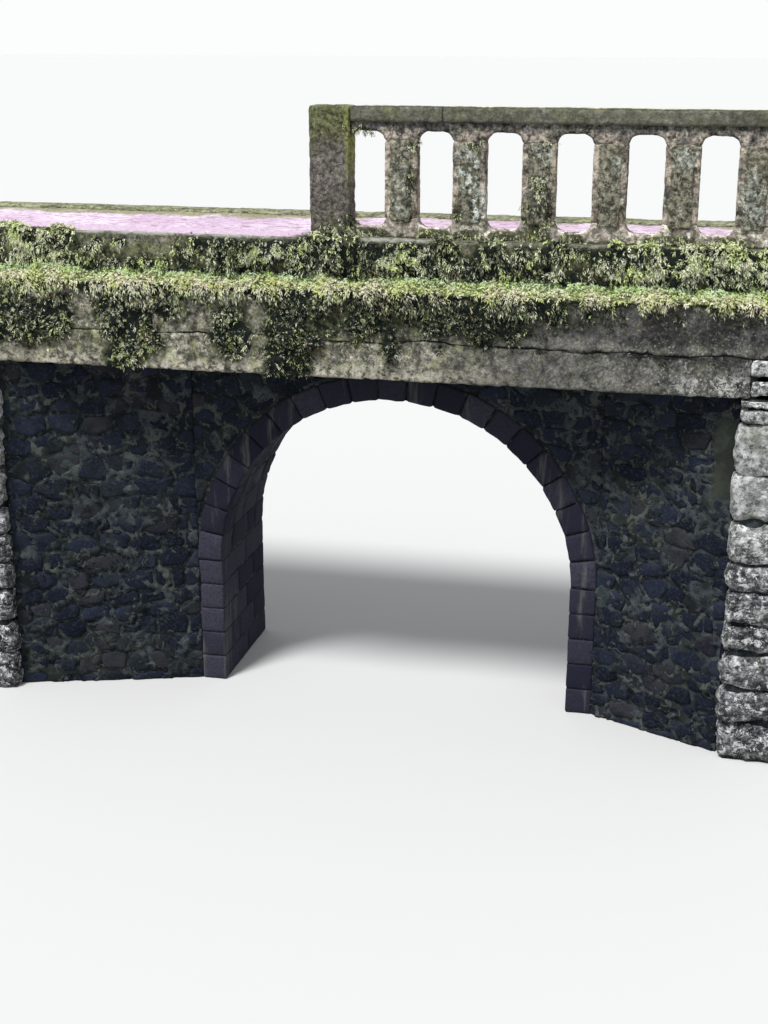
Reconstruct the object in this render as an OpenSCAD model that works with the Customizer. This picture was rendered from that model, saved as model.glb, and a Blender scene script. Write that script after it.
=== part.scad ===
// Small stone arch footbridge over a stream, widened in concrete on its near side.
// The arch's centre line, the walls and the deck share one frame: X runs along the
// bridge, Y across it from the near side to the far side, Z up from the lowest ground.

/* [Arch] */
// Radius of the arch's round inner face
arch_r = 1290; // [900:10:1800]
// Depth of the arch stones, measured outwards from the inner face
ring_t = 180; // [120:5:260]
// Height of the springing above the lowest ground
spring_h = 960; // [400:10:1800]
// Masonry between the top of the arch stones and the beam's underside
crown_cover = 70; // [40:5:300]
// Length of the vault from its near face to its far face
vault_l = 1000; // [800:10:2400]
// Length of each row of face stones, measured into the vault
face_ring_l = 240; // [160:10:350]
// Number of arch stones around each face
arch_stones = 21; // [11:2:31]
// Width of the joints between arch stones
joint_w = 8; // [4:1:14]
// Depth of the joints between stones
joint_d = 12; // [6:1:20]

/* [Walls and pillars] */
// Length of the splayed wall between the arch and the left pillar
wing_run_left = 1300; // [600:10:2400]
// Length of the splayed wall between the arch and the right pillar
wing_run_right = 885; // [400:10:2400]
// How far the splayed wall's outer end stays behind the beam's face
wing_setback = 100; // [40:5:200]
// Distance from the beam's face back to the arch's near face
arch_recess = 500; // [400:10:700]
// Width of each pillar along the bridge
pillar_w = 650; // [400:10:1000]
// How far each pillar stands in front of the beam's face
pillar_proud = 30; // [10:1:60]
// Thickness of the two walls above the arch
headwall_t = 240; // [160:10:350]
// Height of the joints between pillar stones
bed_h = 12; // [6:1:20]

/* [Edge beams] */
// Height of the lower cast of the near beam
beam_lower_h = 258; // [160:2:400]
// Height of the upper cast of the near beam, at its front edge
beam_upper_h = 332; // [200:2:500]
// How far the beam's lower cast bears on each pillar
beam_bearing = 45; // [30:5:120]
// Depth of the ledge in front of the plinth
ledge_d = 130; // [60:5:160]
// Rise of the sloping ledge from its front edge to the plinth
ledge_rise = 45; // [10:5:90]
// Thickness of the far beam
far_beam_t = 250; // [180:10:320]
// How far the far beam stands out over the far wall
far_overhang = 100; // [20:5:160]
// Height of the far kerb above the deck
far_kerb_rise = 15; // [5:5:100]
// Recess of the far kerb behind the far beam's face
far_kerb_setback = 20; // [5:5:60]

/* [Deck] */
// Height of the plinth above the back of the ledge
plinth_h = 278; // [150:2:400]
// Thickness of the plinth
plinth_t = 250; // [240:5:320]
// Drop from the plinth's top to the deck
deck_drop = 15; // [5:1:60]
// Thickness of the deck's wearing layer
surface_t = 40; // [20:5:80]

/* [Balustrade] */
// Width of a baluster
baluster_w = 216; // [160:4:280]
// Distance between the centres of balusters
baluster_pitch = 445; // [400:5:500]
// Distance from an end post to the nearest baluster
end_gap = 226; // [180:2:320]
// Height of the band under the openings
foot_h = 66; // [40:2:120]
// Height of the openings between balusters
opening_h = 607; // [400:5:800]
// Radius of the openings' rounded corners
corner_r = 66; // [30:1:75]
// Height of the band over the openings
header_h = 58; // [40:2:120]
// Height of the top rail
rail_h = 98; // [60:2:140]
// Depth of the top rail across the bridge
rail_d = 150; // [140:2:180]
// Depth of the two bands and of the balusters, which lie in one face
baluster_d = 106; // [80:2:120]
// Width of a baluster's raised panel
panel_w = 146; // [90:2:155]
// How far a raised panel stands out from its baluster
panel_proud = 14; // [6:1:20]
// Slope of a raised panel's edges, measured along the face
panel_bevel = 8; // [3:1:15]
// How far a raised panel laps down over the foot band
panel_lap_foot = 30; // [4:2:50]
// How far a raised panel laps up over the header band
panel_lap_header = 14; // [4:2:40]
// Width of an end post
post_w = 266; // [200:2:320]
// Depth of an end post across the bridge
post_d = 190; // [184:2:240]
// Distance from the right end post to the bridge's end
post_margin = 62; // [10:2:200]

/* [Hidden] */
$fn = 128;

// Stone and concrete colours
rubble_colour = [0.23, 0.24, 0.25];
dressed_colour = [0.30, 0.28, 0.29];
pillar_colour = [0.42, 0.43, 0.41];
concrete_colour = [0.38, 0.37, 0.30];
moss_colour = [0.30, 0.34, 0.14];
deck_colour = [0.55, 0.45, 0.47];

// Balusters between the two end posts, and one opening more than that
baluster_count = 6;
// Small overlap that makes a cut pass clean through a face
cut = 2;
// Heights of the pillar's stones from the top down, as shares of the pillar
course_shares = [60, 95, 335, 315, 290, 200, 220, 205, 260, 240, 280];

// Plan of the bridge along X, measured from the arch's centre line
arch_out = arch_r + ring_t;
span_left = arch_out + wing_run_left;
span_right = arch_out + wing_run_right;
reach_left = span_left + pillar_w;
reach_right = span_right + pillar_w;
bridge_l = reach_left + reach_right;
// The arch stands off the middle, because one bank is nearer than the other
arch_x = (reach_left - reach_right) / 2;
x_left = arch_x - reach_left;
x_right = arch_x + reach_right;

// Places across the bridge along Y
bridge_w = pillar_proud + arch_recess + vault_l + far_overhang;
y_front = -bridge_w / 2;
y_beam = y_front + pillar_proud;
y_arch = y_beam + arch_recess;
y_back = y_arch + vault_l;
y_far = y_back + far_overhang;
y_plinth = y_beam + ledge_d;
y_rail = y_plinth + plinth_t / 2;
y_bed_end = y_far - far_beam_t;

// Heights along Z
z_beam = spring_h + arch_r + ring_t + crown_cover;
z_crack = z_beam + beam_lower_h;
z_ledge = z_crack + beam_upper_h;
z_ledge_back = z_ledge + ledge_rise;
z_plinth = z_ledge_back + plinth_h;
z_deck = z_plinth - deck_drop;
z_open = z_plinth + foot_h;
z_open_top = z_open + opening_h;
z_shaft = z_open + corner_r;
z_shaft_top = z_open_top - corner_r;
z_rail = z_open_top + header_h;
z_top = z_rail + rail_h;

// Places along the balustrade, counted back from the bridge's right end
x_post_right = x_right - post_margin - post_w;
x_last = x_post_right - end_gap - baluster_w / 2;
x_first = x_last - (baluster_count - 1) * baluster_pitch;
x_post_left = x_first - baluster_w / 2 - end_gap - post_w;
x_rail_start = x_post_left + post_w;
rail_l = x_post_right - x_rail_start;

// A block from one corner to the opposite one
module block(low, high) {
    translate(low) cube([high[0] - low[0], high[1] - low[1], high[2] - low[2]]);
}

// An outline in X and Z, carried across the bridge from y0
module across(y0, depth) {
    translate([0, y0 + depth, 0]) rotate([90, 0, 0]) linear_extrude(depth) children();
}

// An outline in Y and Z, carried along the bridge from x0
module along(x0, length) {
    translate([x0, 0, 0]) rotate([90, 0, 90]) linear_extrude(length) children();
}

// The upper half of a disc around the arch's centre, at the springing
module half_disc(radius) {
    translate([arch_x, spring_h]) intersection() {
        circle(r = radius);
        translate([-radius, 0]) square([2 * radius, radius]);
    }
}

// The half ring that the arch stones fill
module ring_outline() {
    difference() {
        half_disc(arch_out);
        translate([arch_x, spring_h]) circle(r = arch_r);
    }
}

// The wall above the arch stones, up to the deck's underside
module spandrel_outline() {
    difference() {
        translate([arch_x - arch_out, spring_h]) square([2 * arch_out, z_beam - spring_h]);
        translate([arch_x, spring_h]) circle(r = arch_out);
    }
}

// Stone walls either side of the arch

module abutment_left() {
    color(rubble_colour)
        block([x_left, y_arch, 0], [arch_x - arch_out, y_back, z_beam]);
}

module abutment_right() {
    color(rubble_colour)
        block([arch_x + arch_out, y_arch, 0], [x_right, y_back, z_beam]);
}

// Dressed stones that carry the springing on each side
module arch_pier(side) {
    x_in = arch_x + side * arch_r;
    x_out = arch_x + side * arch_out;
    color(dressed_colour)
        block([min(x_in, x_out), y_arch, 0], [max(x_in, x_out), y_back, spring_h]);
}

// Face stones of the arch: a half ring with a joint cut between every two stones.
// The joints are cut into the outer face, which looks to the near or the far side.
module arch_ring(y0, y_face, facing) {
    color(dressed_colour) difference() {
        across(y0, face_ring_l) ring_outline();
        for (i = [1 : arch_stones - 1]) {
            translate([arch_x, y_face, spring_h])
                rotate([0, -180 * i / arch_stones, 0])
                    translate([arch_r - cut, facing < 0 ? -cut : -joint_d, -joint_w / 2])
                        cube([ring_t + 2 * cut, joint_d + cut, joint_w]);
        }
    }
}

module arch_ring_near() {
    arch_ring(y_arch, y_arch, -1);
}

module arch_ring_far() {
    arch_ring(y_back - face_ring_l, y_back, 1);
}

// The vault between the two rows of face stones
module arch_barrel() {
    color(dressed_colour)
        across(y_arch + face_ring_l, vault_l - 2 * face_ring_l) ring_outline();
}

module headwall_near() {
    color(rubble_colour) across(y_arch, headwall_t) spandrel_outline();
}

module headwall_far() {
    color(rubble_colour) across(y_back - headwall_t, headwall_t) spandrel_outline();
}

// Rubble packed between the two walls above the arch
module arch_fill() {
    color(rubble_colour) across(y_arch + headwall_t, vault_l - 2 * headwall_t) spandrel_outline();
}

// A splayed wall from the arch's edge out to the pillar's inner face
module wing_wall(side, run) {
    x_in = arch_x + side * arch_out;
    x_out = x_in + side * run;
    color(rubble_colour) linear_extrude(z_beam)
        polygon([[x_in, y_arch], [x_out, y_arch], [x_out, y_beam + wing_setback]]);
}

// Sum of the shares of the courses above one course
function shares_above(i) = i == 0 ? 0 : shares_above(i - 1) + course_shares[i - 1];

// A pillar of squared stones with sunk bed joints. Every second course is two
// stones wide. Beside the beam's end the pillar rises on to the upper cast.
module pillar(x0, bearing_left, bearing_right) {
    total = shares_above(len(course_shares));
    color(pillar_colour) {
        for (i = [0 : len(course_shares) - 1]) {
            top = z_beam - shares_above(i) * z_beam / total;
            low = z_beam - shares_above(i + 1) * z_beam / total;
            block([x0 + joint_d, y_front + joint_d, low],
                  [x0 + pillar_w - joint_d, y_arch, low + bed_h]);
            difference() {
                block([x0, y_front, i == len(course_shares) - 1 ? low : low + bed_h],
                      [x0 + pillar_w, y_arch, top]);
                if (i % 2 == 1) {
                    x_joint = x0 + pillar_w * (i % 4 == 1 ? 0.42 : 0.58);
                    block([x_joint, y_front - cut, low - cut],
                          [x_joint + joint_w, y_front + joint_d, top + cut]);
                }
            }
        }
        block([x0 + bearing_left, y_front, z_beam],
              [x0 + pillar_w - bearing_right, y_arch, z_crack]);
    }
}

module pillar_left() {
    pillar(x_left, 0, beam_bearing);
}

module pillar_right() {
    pillar(x_right - pillar_w, beam_bearing, 0);
}

// Concrete widening on the near side

module edge_beam_lower() {
    color(concrete_colour)
        block([arch_x - span_left - beam_bearing, y_beam, z_beam],
              [arch_x + span_right + beam_bearing, y_arch, z_crack]);
}

// The upper cast carries a sloping ledge in front of the plinth
module edge_beam_upper() {
    color(moss_colour) along(x_left, bridge_l)
        polygon([[y_beam, z_crack], [y_arch, z_crack], [y_arch, z_ledge_back],
                 [y_plinth, z_ledge_back], [y_beam, z_ledge]]);
}

module kerb_left() {
    color(moss_colour)
        block([x_left, y_plinth, z_ledge_back], [x_post_left, y_plinth + plinth_t, z_plinth]);
}

module plinth() {
    color(moss_colour)
        block([x_post_left, y_plinth, z_ledge_back], [x_right, y_plinth + plinth_t, z_plinth]);
}

module end_post(x0) {
    color(concrete_colour)
        block([x0, y_rail - post_d / 2, z_plinth], [x0 + post_w, y_rail + post_d / 2, z_top]);
}

// One opening with its rounded corners, from x0 over the given width
module opening_outline(x0, width) {
    for (x = [x0 + corner_r, x0 + width - corner_r])
        for (z = [z_open + corner_r, z_open_top - corner_r])
            translate([x, z]) circle(r = corner_r);
    translate([x0 + corner_r, z_open]) square([width - 2 * corner_r, opening_h]);
    translate([x0, z_open + corner_r]) square([width, opening_h - 2 * corner_r]);
}

// All the openings of the balustrade
module openings() {
    opening_outline(x_rail_start, end_gap);
    for (i = [0 : baluster_count - 2])
        opening_outline(x_first + i * baluster_pitch + baluster_w / 2, baluster_pitch - baluster_w);
    opening_outline(x_last + baluster_w / 2, end_gap);
}

// A cast band with the rounded ends of the openings cut into it
module band(z_low, z_high) {
    color(concrete_colour) across(y_rail - baluster_d / 2, baluster_d) difference() {
        translate([x_rail_start, z_low]) square([rail_l, z_high - z_low]);
        openings();
    }
}

module foot_band() {
    band(z_plinth, z_shaft);
}

module header_band() {
    band(z_shaft_top, z_rail);
}

// A raised panel with sloping edges, where two crossed prisms meet. It is sunk into
// the shaft, and its ends lie on the faces of the two bands.
module raised_panel(x, facing) {
    low = z_shaft - panel_lap_foot;
    high = z_shaft_top + panel_lap_header;
    face = y_rail + facing * baluster_d / 2;
    front = face + facing * panel_proud;
    half = panel_w / 2;
    intersection() {
        along(x - half, panel_w)
            polygon([[face, low], [face, z_shaft], [face - facing * cut, z_shaft],
                     [face - facing * cut, z_shaft_top], [face, z_shaft_top], [face, high],
                     [front, high - panel_bevel], [front, low + panel_bevel]]);
        linear_extrude(z_top)
            polygon([[x - half, face - facing * cut], [x + half, face - facing * cut],
                     [x + half, face], [x + half - panel_bevel, front],
                     [x - half + panel_bevel, front], [x - half, face]]);
    }
}

// The shaft of one baluster, between the rounded ends of its openings
module baluster(i) {
    x = x_first + (i - 1) * baluster_pitch;
    color(concrete_colour) {
        block([x - baluster_w / 2, y_rail - baluster_d / 2, z_shaft],
              [x + baluster_w / 2, y_rail + baluster_d / 2, z_shaft_top]);
        raised_panel(x, -1);
        raised_panel(x, 1);
    }
}

module top_rail() {
    color(concrete_colour)
        block([x_rail_start, y_rail - rail_d / 2, z_rail],
              [x_post_right, y_rail + rail_d / 2, z_top]);
}

// The deck and its far edge

module deck_bed() {
    color(rubble_colour)
        difference() {
            block([x_left, y_arch, z_beam], [x_right, y_bed_end, z_deck - surface_t]);
            block([x_left - cut, y_arch - cut, z_ledge_back],
                  [x_right + cut, y_plinth + plinth_t, z_deck]);
        }
}

// The wearing layer lies on the bed and on the back of the near beam
module deck_surface() {
    color(deck_colour)
        block([x_left, y_plinth + plinth_t, z_deck - surface_t], [x_right, y_bed_end, z_deck]);
}

module far_edge_beam() {
    color(concrete_colour)
        block([x_left, y_bed_end, z_beam], [x_right, y_far, z_ledge]);
}

module far_kerb() {
    color(moss_colour)
        block([x_left, y_bed_end, z_ledge],
              [x_right, y_far - far_kerb_setback, z_deck + far_kerb_rise]);
}

abutment_left();
abutment_right();
arch_pier(-1);  // arch_pier_left
arch_pier(1);  // arch_pier_right
arch_ring_near();
arch_ring_far();
arch_barrel();
headwall_near();
headwall_far();
arch_fill();
wing_wall(-1, wing_run_left);  // wing_wall_left
wing_wall(1, wing_run_right);  // wing_wall_right
pillar_left();
pillar_right();
edge_beam_lower();
edge_beam_upper();
kerb_left();
plinth();
end_post(x_post_left);  // end_post_left
end_post(x_post_right);  // end_post_right
for (i = [1 : baluster_count])
    baluster(i);
foot_band();
header_band();
top_rail();
deck_bed();
deck_surface();
far_edge_beam();
far_kerb();
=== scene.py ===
"""Stone arch footbridge with a mossy concrete edge and a pierced balustrade."""

import math

import bpy
import numpy as np
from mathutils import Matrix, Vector


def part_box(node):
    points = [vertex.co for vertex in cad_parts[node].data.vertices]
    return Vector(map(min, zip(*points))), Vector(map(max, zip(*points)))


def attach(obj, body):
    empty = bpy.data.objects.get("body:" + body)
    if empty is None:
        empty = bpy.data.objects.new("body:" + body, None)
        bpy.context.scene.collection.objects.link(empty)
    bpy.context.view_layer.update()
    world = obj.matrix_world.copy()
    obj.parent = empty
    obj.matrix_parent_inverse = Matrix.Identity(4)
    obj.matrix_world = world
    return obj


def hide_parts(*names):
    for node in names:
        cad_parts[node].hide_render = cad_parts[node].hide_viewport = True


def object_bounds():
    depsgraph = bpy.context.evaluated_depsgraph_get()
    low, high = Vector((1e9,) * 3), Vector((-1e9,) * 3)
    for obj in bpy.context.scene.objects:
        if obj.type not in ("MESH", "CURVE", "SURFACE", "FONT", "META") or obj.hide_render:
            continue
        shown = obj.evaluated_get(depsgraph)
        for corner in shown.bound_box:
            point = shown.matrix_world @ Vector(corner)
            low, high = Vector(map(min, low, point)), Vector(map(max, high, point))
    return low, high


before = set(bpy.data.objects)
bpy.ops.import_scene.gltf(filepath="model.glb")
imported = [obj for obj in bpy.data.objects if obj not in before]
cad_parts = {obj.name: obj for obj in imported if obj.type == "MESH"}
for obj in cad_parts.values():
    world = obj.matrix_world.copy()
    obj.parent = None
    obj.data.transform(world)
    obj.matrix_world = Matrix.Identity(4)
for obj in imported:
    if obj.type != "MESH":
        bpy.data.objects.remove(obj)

bl_info = {
    "name": "Stone arch footbridge",
    "version": (1, 0, 0),
    "blender": (4, 5, 0),
    "location": "View3D > Sidebar > Bridge",
    "description": "Dresses the footbridge's walls, castings and moss",
    "category": "Object",
}

# Places that the frame gives, in metres
CAD_BOX = [list(corner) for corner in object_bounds()]
LOW, HIGH = Vector(CAD_BOX[0]), Vector(CAD_BOX[1])
BEAM_LOW, BEAM_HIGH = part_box("edge_beam_lower")
UPPER_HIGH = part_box("edge_beam_upper")[1]
PLINTH_LOW, PLINTH_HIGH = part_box("plinth")
RING_LOW, RING_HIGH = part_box("arch_ring_near")
BARREL_LOW, BARREL_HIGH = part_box("arch_barrel")
FAR_RING_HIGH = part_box("arch_ring_far")[1]
PIER_LOW, PIER_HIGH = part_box("arch_pier_left")
POST_LOW, POST_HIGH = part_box("end_post_left")
FOOT_LOW, FOOT_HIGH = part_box("foot_band")
HEADER_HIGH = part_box("header_band")[1]
BALUSTER_NAMES = sorted(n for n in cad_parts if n.startswith("baluster_"))

# The arch: its middle, outer and inner radius, the rings' thickness and the springing
ARCH_X = (RING_LOW.x + RING_HIGH.x) / 2
ARCH_OUT = (RING_HIGH.x - RING_LOW.x) / 2
RING_T = PIER_HIGH.x - PIER_LOW.x
ARCH_R = ARCH_OUT - RING_T
SPRING_Z = RING_LOW.z
# Faces of the beam, the arch, the far side and the plinth, and levels from the beam's underside up
Y_BEAM = BEAM_LOW.y
Y_ARCH = RING_LOW.y
Y_BACK = FAR_RING_HIGH.y
Y_PLINTH = PLINTH_LOW.y
Z_BEAM = BEAM_LOW.z
Z_CRACK = BEAM_HIGH.z
Z_LEDGE_BACK = UPPER_HIGH.z
# How far the ledge rises from its lip to the plinth
LEDGE_RISE = 0.045
Z_LEDGE = Z_LEDGE_BACK - LEDGE_RISE
Z_PLINTH = PLINTH_HIGH.z
# Stones in each ring of the arch
ARCH_STONES = 21


class BridgeSizes(bpy.types.PropertyGroup):
    """Sizes of the stones, the joints and the moss"""

    stone_width: bpy.props.FloatProperty(
        name="Rubble stone width", description="Usual width of a stone in the rubble walls",
        default=0.21, min=0.08, max=0.5, unit="LENGTH")
    stone_height: bpy.props.FloatProperty(
        name="Rubble stone height", description="Usual height of a stone in the rubble walls",
        default=0.135, min=0.05, max=0.3, unit="LENGTH")
    mortar_gap: bpy.props.FloatProperty(
        name="Mortar joint", description="Width of the mortar between two rubble stones",
        default=0.022, min=0.004, max=0.04, unit="LENGTH")
    stone_relief: bpy.props.FloatProperty(
        name="Stone relief", description="How far a rubble stone stands out of its mortar",
        default=0.013, min=0.004, max=0.04, unit="LENGTH")
    arris_wear: bpy.props.FloatProperty(
        name="Arris wear", description="Rounding of the worn edges of the castings",
        default=0.009, min=0.002, max=0.02, unit="LENGTH")
    sprig_length: bpy.props.FloatProperty(
        name="Moss sprig length", description="Usual length of one sprig of moss",
        default=0.037, min=0.015, max=0.08, unit="LENGTH")
    sprig_density: bpy.props.FloatProperty(
        name="Moss sprigs", description="Sprigs on a square metre of full cover",
        default=9300, min=500, max=12000)
    moss_thickness: bpy.props.FloatProperty(
        name="Moss thickness", description="Thickness of the moss bed under its leaves",
        default=0.022, min=0.005, max=0.05, unit="LENGTH")


class BridgeColours(bpy.types.PropertyGroup):
    """Base colours of the finishes"""

    concrete: bpy.props.FloatVectorProperty(
        name="Concrete", description="Clean face of the old castings", subtype="COLOR",
        size=3, default=(0.235, 0.225, 0.185))
    algae: bpy.props.FloatVectorProperty(
        name="Algae", description="Olive film on damp concrete", subtype="COLOR",
        size=3, default=(0.115, 0.125, 0.06))
    # The rubble, mortar and arch-stone colours are darker than the stones' own, partly painted shade for
    # the shade under the beam.
    rubble: bpy.props.FloatVectorProperty(
        name="Rubble", description="Blue-grey stones of the walls", subtype="COLOR",
        size=3, default=(0.022, 0.028, 0.046))
    mortar: bpy.props.FloatVectorProperty(
        name="Mortar", description="Smeared lime mortar", subtype="COLOR",
        size=3, default=(0.056, 0.067, 0.077))
    block: bpy.props.FloatVectorProperty(
        name="Pillar blocks", description="Squared stones of the pillars", subtype="COLOR",
        size=3, default=(0.64, 0.65, 0.64))
    arch_stone: bpy.props.FloatVectorProperty(
        name="Arch stones", description="Palest of the cut stones of the arch", subtype="COLOR",
        size=3, default=(0.069, 0.067, 0.098))
    moss_tip: bpy.props.FloatVectorProperty(
        name="Moss tips", description="Lit tips of the moss leaves", subtype="COLOR",
        size=3, default=(1.0, 1.0, 0.78))
    moss_root: bpy.props.FloatVectorProperty(
        name="Moss roots", description="Shaded roots of the moss", subtype="COLOR",
        size=3, default=(0.011, 0.014, 0.012))
    deck: bpy.props.FloatVectorProperty(
        name="Deck", description="Trodden grit of the deck", subtype="COLOR",
        size=3, default=(0.93, 0.70, 0.90))


# Noise for shapes: the same value for the same place in every run

def value_noise(points, size, seed):
    """Smooth noise from 0 to 1 at each point, with lumps of about the given size."""
    cells, offset = 64, 17.3
    table = np.random.RandomState(seed).rand(cells, cells, cells)
    p = np.asarray(points, float) / size + offset
    base = np.floor(p).astype(int)
    f = p - base
    f = f * f * (3 - 2 * f)
    total = np.zeros(len(p))
    for dx in (0, 1):
        wx = f[:, 0] if dx else 1 - f[:, 0]
        for dy in (0, 1):
            wy = f[:, 1] if dy else 1 - f[:, 1]
            for dz in (0, 1):
                wz = f[:, 2] if dz else 1 - f[:, 2]
                i, j, k = (base[:, 0] + dx) % cells, (base[:, 1] + dy) % cells, (base[:, 2] + dz) % cells
                total += wx * wy * wz * table[i, j, k]
    return total


def rough_noise(points, size, seed, octaves=3):
    """Several sizes of noise added up, from 0 to 1."""
    total, weight = 0.0, 0.0
    for k in range(octaves):
        total = total + value_noise(points, size / 2 ** k, seed + k) / 2 ** k
        weight += 1 / 2 ** k
    return total / weight


def smooth_step(low, high, x):
    """0 up to the first value and 1 past the second, smooth between them."""
    t = np.clip((np.asarray(x, float) - low) / (high - low), 0, 1)
    return t * t * (3 - 2 * t)


# Meshes

def deselect_all():
    """Leaves nothing selected."""
    for item in bpy.context.selected_objects:
        item.select_set(False)


def make_active(piece):
    """Selects one piece alone, for the operators that follow."""
    deselect_all()
    piece.select_set(True)
    bpy.context.view_layer.objects.active = piece


def link_mesh(name, mesh):
    """A new object at the origin that shows a mesh."""
    piece = bpy.data.objects.new(name, mesh)
    bpy.context.scene.collection.objects.link(piece)
    return piece


def shade_smooth(piece):
    """Shades every face of a piece smooth."""
    faces = piece.data.polygons
    faces.foreach_set("use_smooth", np.ones(len(faces), bool))


def mesh_piece(name, verts, faces):
    """A new smooth-shaded object from arrays of corners and faces."""
    mesh = bpy.data.meshes.new(name)
    mesh.from_pydata([tuple(v) for v in verts], [], faces)
    mesh.update()
    piece = link_mesh(name, mesh)
    shade_smooth(piece)
    return piece


def coordinates(piece):
    """A piece's corners as an array."""
    co = np.zeros(len(piece.data.vertices) * 3)
    piece.data.vertices.foreach_get("co", co)
    return co.reshape(-1, 3)


def vertex_normals(piece):
    """The outward direction at each corner of a piece."""
    n = np.zeros(len(piece.data.vertices) * 3)
    piece.data.vertices.foreach_get("normal", n)
    return n.reshape(-1, 3)


def set_coordinates(piece, co):
    """Moves a piece's corners to new places."""
    piece.data.vertices.foreach_set("co", np.asarray(co, float).ravel())
    piece.data.update()


def paint(piece, name, values):
    """Stores one number for each vertex, which a material reads by name."""
    layer = piece.data.attributes.get(name) or piece.data.attributes.new(name, "FLOAT", "POINT")
    layer.data.foreach_set("value", np.asarray(values, np.float32))


def apply_modifier(piece, kind, **settings):
    """Adds a modifier with its settings and applies it."""
    make_active(piece)
    bpy.ops.object.modifier_add(type=kind)
    modifier = piece.modifiers[-1]
    for key, value in settings.items():
        setattr(modifier, key, value)
    bpy.ops.object.modifier_apply(modifier=modifier.name)


def give_finish(piece, name):
    """Puts one finish on a piece in place of what it had."""
    piece.data.materials.clear()
    piece.data.materials.append(finish(name))


def install(piece, finish_name):
    """Gives a finished piece its finish and its body, and lets nothing reach below height 0."""
    co = coordinates(piece)
    if co[:, 2].min() < 0:
        co[:, 2] = np.maximum(co[:, 2], 0.0)
        set_coordinates(piece, co)
    give_finish(piece, finish_name)
    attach(piece, "root")


def merged_copy(name, node):
    """A copy of a CAD node as one mesh with its corners joined."""
    piece = link_mesh(name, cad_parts[node].data.copy())
    piece.data.name = name
    make_active(piece)
    bpy.ops.object.mode_set(mode="EDIT")
    bpy.ops.mesh.select_all(action="SELECT")
    bpy.ops.mesh.remove_doubles(threshold=0.0002)
    bpy.ops.mesh.dissolve_limited(angle_limit=math.radians(1))
    bpy.ops.mesh.select_all(action="DESELECT")
    bpy.ops.object.mode_set(mode="OBJECT")
    return piece


def cloud_texture(name, size):
    """Clouds of a given size, for a displace modifier."""
    texture = bpy.data.textures.new(name, "CLOUDS")
    texture.noise_scale = size
    texture.noise_depth = 3
    return texture


def edge_group(piece):
    """Adds a vertex group that is strong along the piece's edges, and gives its name."""
    name = "arrises"
    n = np.abs(vertex_normals(piece))
    weights = smooth_step(0.03, 0.25, 1 - n.max(axis=1))
    group = piece.vertex_groups.new(name=name)
    for index in np.nonzero(weights > 0.01)[0]:
        group.add([int(index)], float(weights[index]), "REPLACE")
    return name


def cast_piece(name, node, grain, wear, rough, chips=0.016, keep=0.6):
    """A worn concrete casting over a CAD node, with rounded and chipped edges."""
    piece = merged_copy(name, node)
    apply_modifier(piece, "BEVEL", width=wear, segments=2, limit_method="ANGLE")
    apply_modifier(piece, "REMESH", mode="VOXEL", voxel_size=grain, adaptivity=0.0)
    group = edge_group(piece)
    apply_modifier(piece, "DISPLACE", texture=cloud_texture(name + "_chips", 0.09), strength=-chips,
                   mid_level=0.35, vertex_group=group, texture_coords="LOCAL")
    apply_modifier(piece, "DISPLACE", texture=cloud_texture(name + "_lumps", 0.28), strength=rough * 1.6,
                   mid_level=0.5, texture_coords="LOCAL")
    apply_modifier(piece, "DISPLACE", texture=cloud_texture(name + "_pits", 0.035), strength=rough,
                   mid_level=0.5, texture_coords="LOCAL")
    apply_modifier(piece, "DECIMATE", ratio=keep)
    piece.vertex_groups.clear()
    shade_smooth(piece)
    return piece


def pit_surface(piece, depth, seed):
    """Sinks small ragged pits into a casting and paints where they are."""
    co, normals = coordinates(piece), vertex_normals(piece)
    coarse = rough_noise(co, 0.05, seed, 3)
    fine = rough_noise(co, 0.022, seed + 5, 2)
    pits = smooth_step(0.56, 0.70, coarse) * 0.7 + smooth_step(0.60, 0.74, fine) * 0.5
    set_coordinates(piece, co - normals * (pits * depth)[:, None])
    paint(piece, "dent", np.clip(pits, 0, 1))


def grid_lines(length, radius, step):
    """Places along one side of a block: close together at its rounded ends."""
    inner = max(2, int(round((length - 2 * radius) / step)) + 1)
    middle = np.linspace(radius, length - radius, inner)
    return np.concatenate([[0.0, radius * 0.3], middle, [length - radius * 0.3, length]])


def rounded_block(size, radius, step):
    """The surface of a block with rounded edges, as corners from 0 to size and its faces."""
    lines = [grid_lines(s, radius, step) for s in size]
    index, verts, faces = {}, [], []

    def corner(i, j, k):
        key = (i, j, k)
        if key not in index:
            index[key] = len(verts)
            verts.append((lines[0][i], lines[1][j], lines[2][k]))
        return index[key]

    last = [len(line) - 1 for line in lines]
    for axis in range(3):
        a, b = (axis + 1) % 3, (axis + 2) % 3
        for side in (0, last[axis]):
            for i in range(last[a]):
                for j in range(last[b]):
                    quad = []
                    for di, dj in ((0, 0), (1, 0), (1, 1), (0, 1)):
                        key = [0, 0, 0]
                        key[axis], key[a], key[b] = side, i + di, j + dj
                        quad.append(corner(*key))
                    faces.append(quad if side else quad[::-1])
    v = np.array(verts)
    inner = np.clip(v, radius, np.array(size) - radius)
    away = v - inner
    length = np.linalg.norm(away, axis=1, keepdims=True)
    pulled = inner + away / np.maximum(length, 1e-9) * radius
    outward = np.where(length > 1e-9, away / np.maximum(length, 1e-9), 0)
    return np.where(length > radius, pulled, v), faces, outward


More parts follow.
